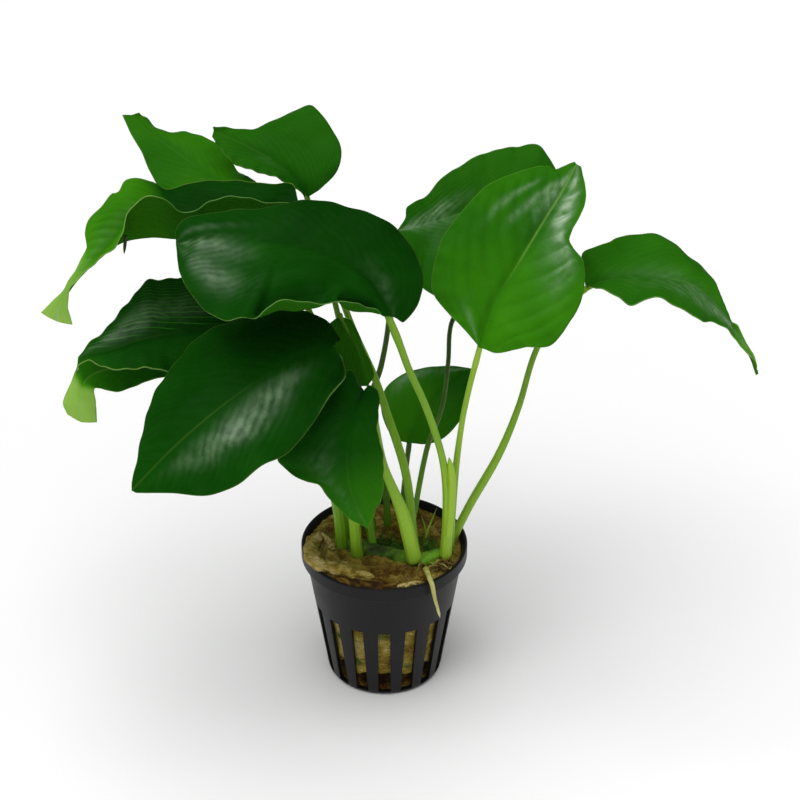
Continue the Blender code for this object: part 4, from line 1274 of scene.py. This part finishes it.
def make_root(material):
    """A tapering root that leaves the crown and hangs over the rim, and a tangle behind it."""
    bm = bmesh.new()

    def radius_at(share, angle):
        radius = blend(*ROOT_RADII, share)
        blunt = 1 - smooth(share, 0.90, 1.0) * 0.85
        return radius * blunt * (1 + 0.10 * ripple(share * 14, angle, 0))

    tube(bm, Route(ROOT), radius_at, 60, 16, {"tone": lambda share, angle: 0.70 + 0.25 * share})
    rng = random.Random(TANGLE_SEED)
    for _ in range(TANGLE_ROOTS):
        x, y, z = [rng.uniform(*span) for span in TANGLE_START]
        turn = rng.gauss(-1.4, 0.7)
        thick = rng.uniform(*TANGLE_RADII)
        shade = rng.uniform(0.15, 0.75)
        places = []
        for _ in range(TANGLE_STEPS):
            places.append((x, y, z))
            turn += rng.gauss(0, 0.55)
            x += TANGLE_STEP * math.cos(turn)
            y += TANGLE_STEP * math.sin(turn)
            z += rng.gauss(-0.02, 0.35)
            if math.hypot(x, y) > TANGLE_LIMIT:
                turn += math.pi / 2
        tube(bm, Route(places), lambda share, angle: thick * (1 - 0.7 * share), 18, 8,
             {"tone": lambda share, angle: shade})
    return piece_from(bm, "pale_root", ["hanging_root"], [material])


# Operators, one for each piece or group of like pieces

class GrowOperator:
    """What all of the plant's operators share"""
    bl_options = {"REGISTER", "UNDO"}


class ANUBIAS_OT_stage(GrowOperator, Operator):
    """Set out the floor, the lights and the camera"""
    bl_idname = "anubias.stage"
    bl_label = "Stage"

    def add_light(self, name, strength, size, tilt):
        """A distant light, by its tilts from straight above to the front and to the right."""
        light = bpy.data.lights.new(name, "SUN")
        light.energy = strength
        light.angle = size
        lamp = add_object(name, light)
        lamp.rotation_euler = (math.radians(tilt[0]), math.radians(tilt[1]), 0)

    def execute(self, context):
        scene = context.scene
        studio = scene.anubias_studio
        bm = bmesh.new()
        bmesh.ops.create_grid(bm, x_segments=1, y_segments=1, size=FLOOR_HALF_WIDTH)
        floor = add_object("floor", mesh_of(bm, "floor"))
        finish = Finish("pale_floor", 0.7, Specular_IOR_Level=0.2)
        finish.set(Base_Color=studio.floor_colour)
        floor.data.materials.append(finish.material)
        floor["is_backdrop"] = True
        scene.world = bpy.data.worlds.new("room")
        scene.world.use_nodes = True
        room = scene.world.node_tree.nodes["Background"]
        room.inputs["Color"].default_value = (1, 1, 1, 1)
        room.inputs["Strength"].default_value = studio.sky_strength
        self.add_light("key", studio.key_strength, studio.key_size, KEY_TILT)
        self.add_light("fill", studio.fill_strength, math.radians(FILL_SIZE), FILL_TILT)
        scene.view_settings.view_transform = "Standard"
        lens = bpy.data.cameras.new("camera")
        lens.lens = studio.camera_lens
        lens.sensor_width = SENSOR_WIDTH
        lens.clip_start = 0.01
        scene.camera = add_object("camera", lens)
        scene.camera.location = studio.camera_place
        scene.camera.rotation_euler = (math.pi / 2 - studio.camera_tilt, 0, 0)
        return {"FINISHED"}


class ANUBIAS_OT_pot(GrowOperator, Operator):
    """Mould the slotted net pot"""
    bl_idname = "anubias.pot"
    bl_label = "Pot"

    def execute(self, context):
        pot = context.scene.anubias_pot
        make_pot(pot, plastic_finish(pot))
        return {"FINISHED"}


class ANUBIAS_OT_wool(GrowOperator, Operator):
    """Fill the pot with matted rock wool and its loose strands"""
    bl_idname = "anubias.wool"
    bl_label = "Rock wool"

    def execute(self, context):
        wool = context.scene.anubias_wool
        make_wool(wool_finish(wool))
        make_strands(wool, strand_finish(wool))
        return {"FINISHED"}


class ANUBIAS_OT_rhizome(GrowOperator, Operator):
    """Lay the rhizome and its hanging root"""
    bl_idname = "anubias.rhizome"
    bl_label = "Rhizome and root"

    def execute(self, context):
        make_rhizome(rhizome_finish(context.scene.anubias_stem))
        make_root(root_finish())
        return {"FINISHED"}


class ANUBIAS_OT_stems(GrowOperator, Operator):
    """Raise the stalks"""
    bl_idname = "anubias.stems"
    bl_label = "Stems"

    def execute(self, context):
        material = stalk_finish(context.scene.anubias_stem)
        for name in PLANT:
            make_stem(name, context.scene.anubias_leaf, material)
        return {"FINISHED"}


class ANUBIAS_OT_blades(GrowOperator, Operator):
    """Unfold the leaf blades"""
    bl_idname = "anubias.blades"
    bl_label = "Blades"

    def execute(self, context):
        leaf = context.scene.anubias_leaf
        materials = [blade_top_finish(leaf), blade_under_finish(leaf), blade_rim_finish(leaf)]
        for name in PLANT:
            make_blade(name, leaf, materials)
        return {"FINISHED"}


OPERATORS = (ANUBIAS_OT_stage, ANUBIAS_OT_pot, ANUBIAS_OT_wool, ANUBIAS_OT_rhizome,
             ANUBIAS_OT_stems, ANUBIAS_OT_blades)
SETTINGS = {
    "anubias_studio": StudioSettings,
    "anubias_pot": PotSettings,
    "anubias_wool": WoolSettings,
    "anubias_stem": StemSettings,
    "anubias_leaf": LeafSettings,
}


class ANUBIAS_PT_panel(Panel):
    """Settings and steps of the plant"""
    bl_idname = "ANUBIAS_PT_panel"
    bl_label = "Anubias in a net pot"
    bl_space_type = "VIEW_3D"
    bl_region_type = "UI"
    bl_category = "Anubias"

    def draw(self, context):
        for key in SETTINGS:
            settings = getattr(context.scene, key)
            box = self.layout.box()
            for name in settings.bl_rna.properties.keys():
                if name not in ("rna_type", "name"):
                    box.prop(settings, name)
        for operator in OPERATORS:
            self.layout.operator(operator.bl_idname)


def register():
    for kind in (*SETTINGS.values(), *OPERATORS, ANUBIAS_PT_panel):
        bpy.utils.register_class(kind)
    for key, kind in SETTINGS.items():
        setattr(bpy.types.Scene, key, PointerProperty(type=kind))


def unregister():
    for key in SETTINGS:
        delattr(bpy.types.Scene, key)
    for kind in reversed((*SETTINGS.values(), *OPERATORS, ANUBIAS_PT_panel)):
        bpy.utils.unregister_class(kind)


def corners():
    """The lowest and highest corners of the whole object, as plain lists."""
    return [list(corner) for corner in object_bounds()]


def main():
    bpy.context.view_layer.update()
    register()
    bpy.ops.anubias.stage()
    bpy.ops.anubias.pot()
    bpy.ops.anubias.wool()
    bpy.ops.anubias.rhizome()
    bpy.ops.anubias.stems()
    bpy.ops.anubias.blades()


if __name__ == "__main__":
    main()
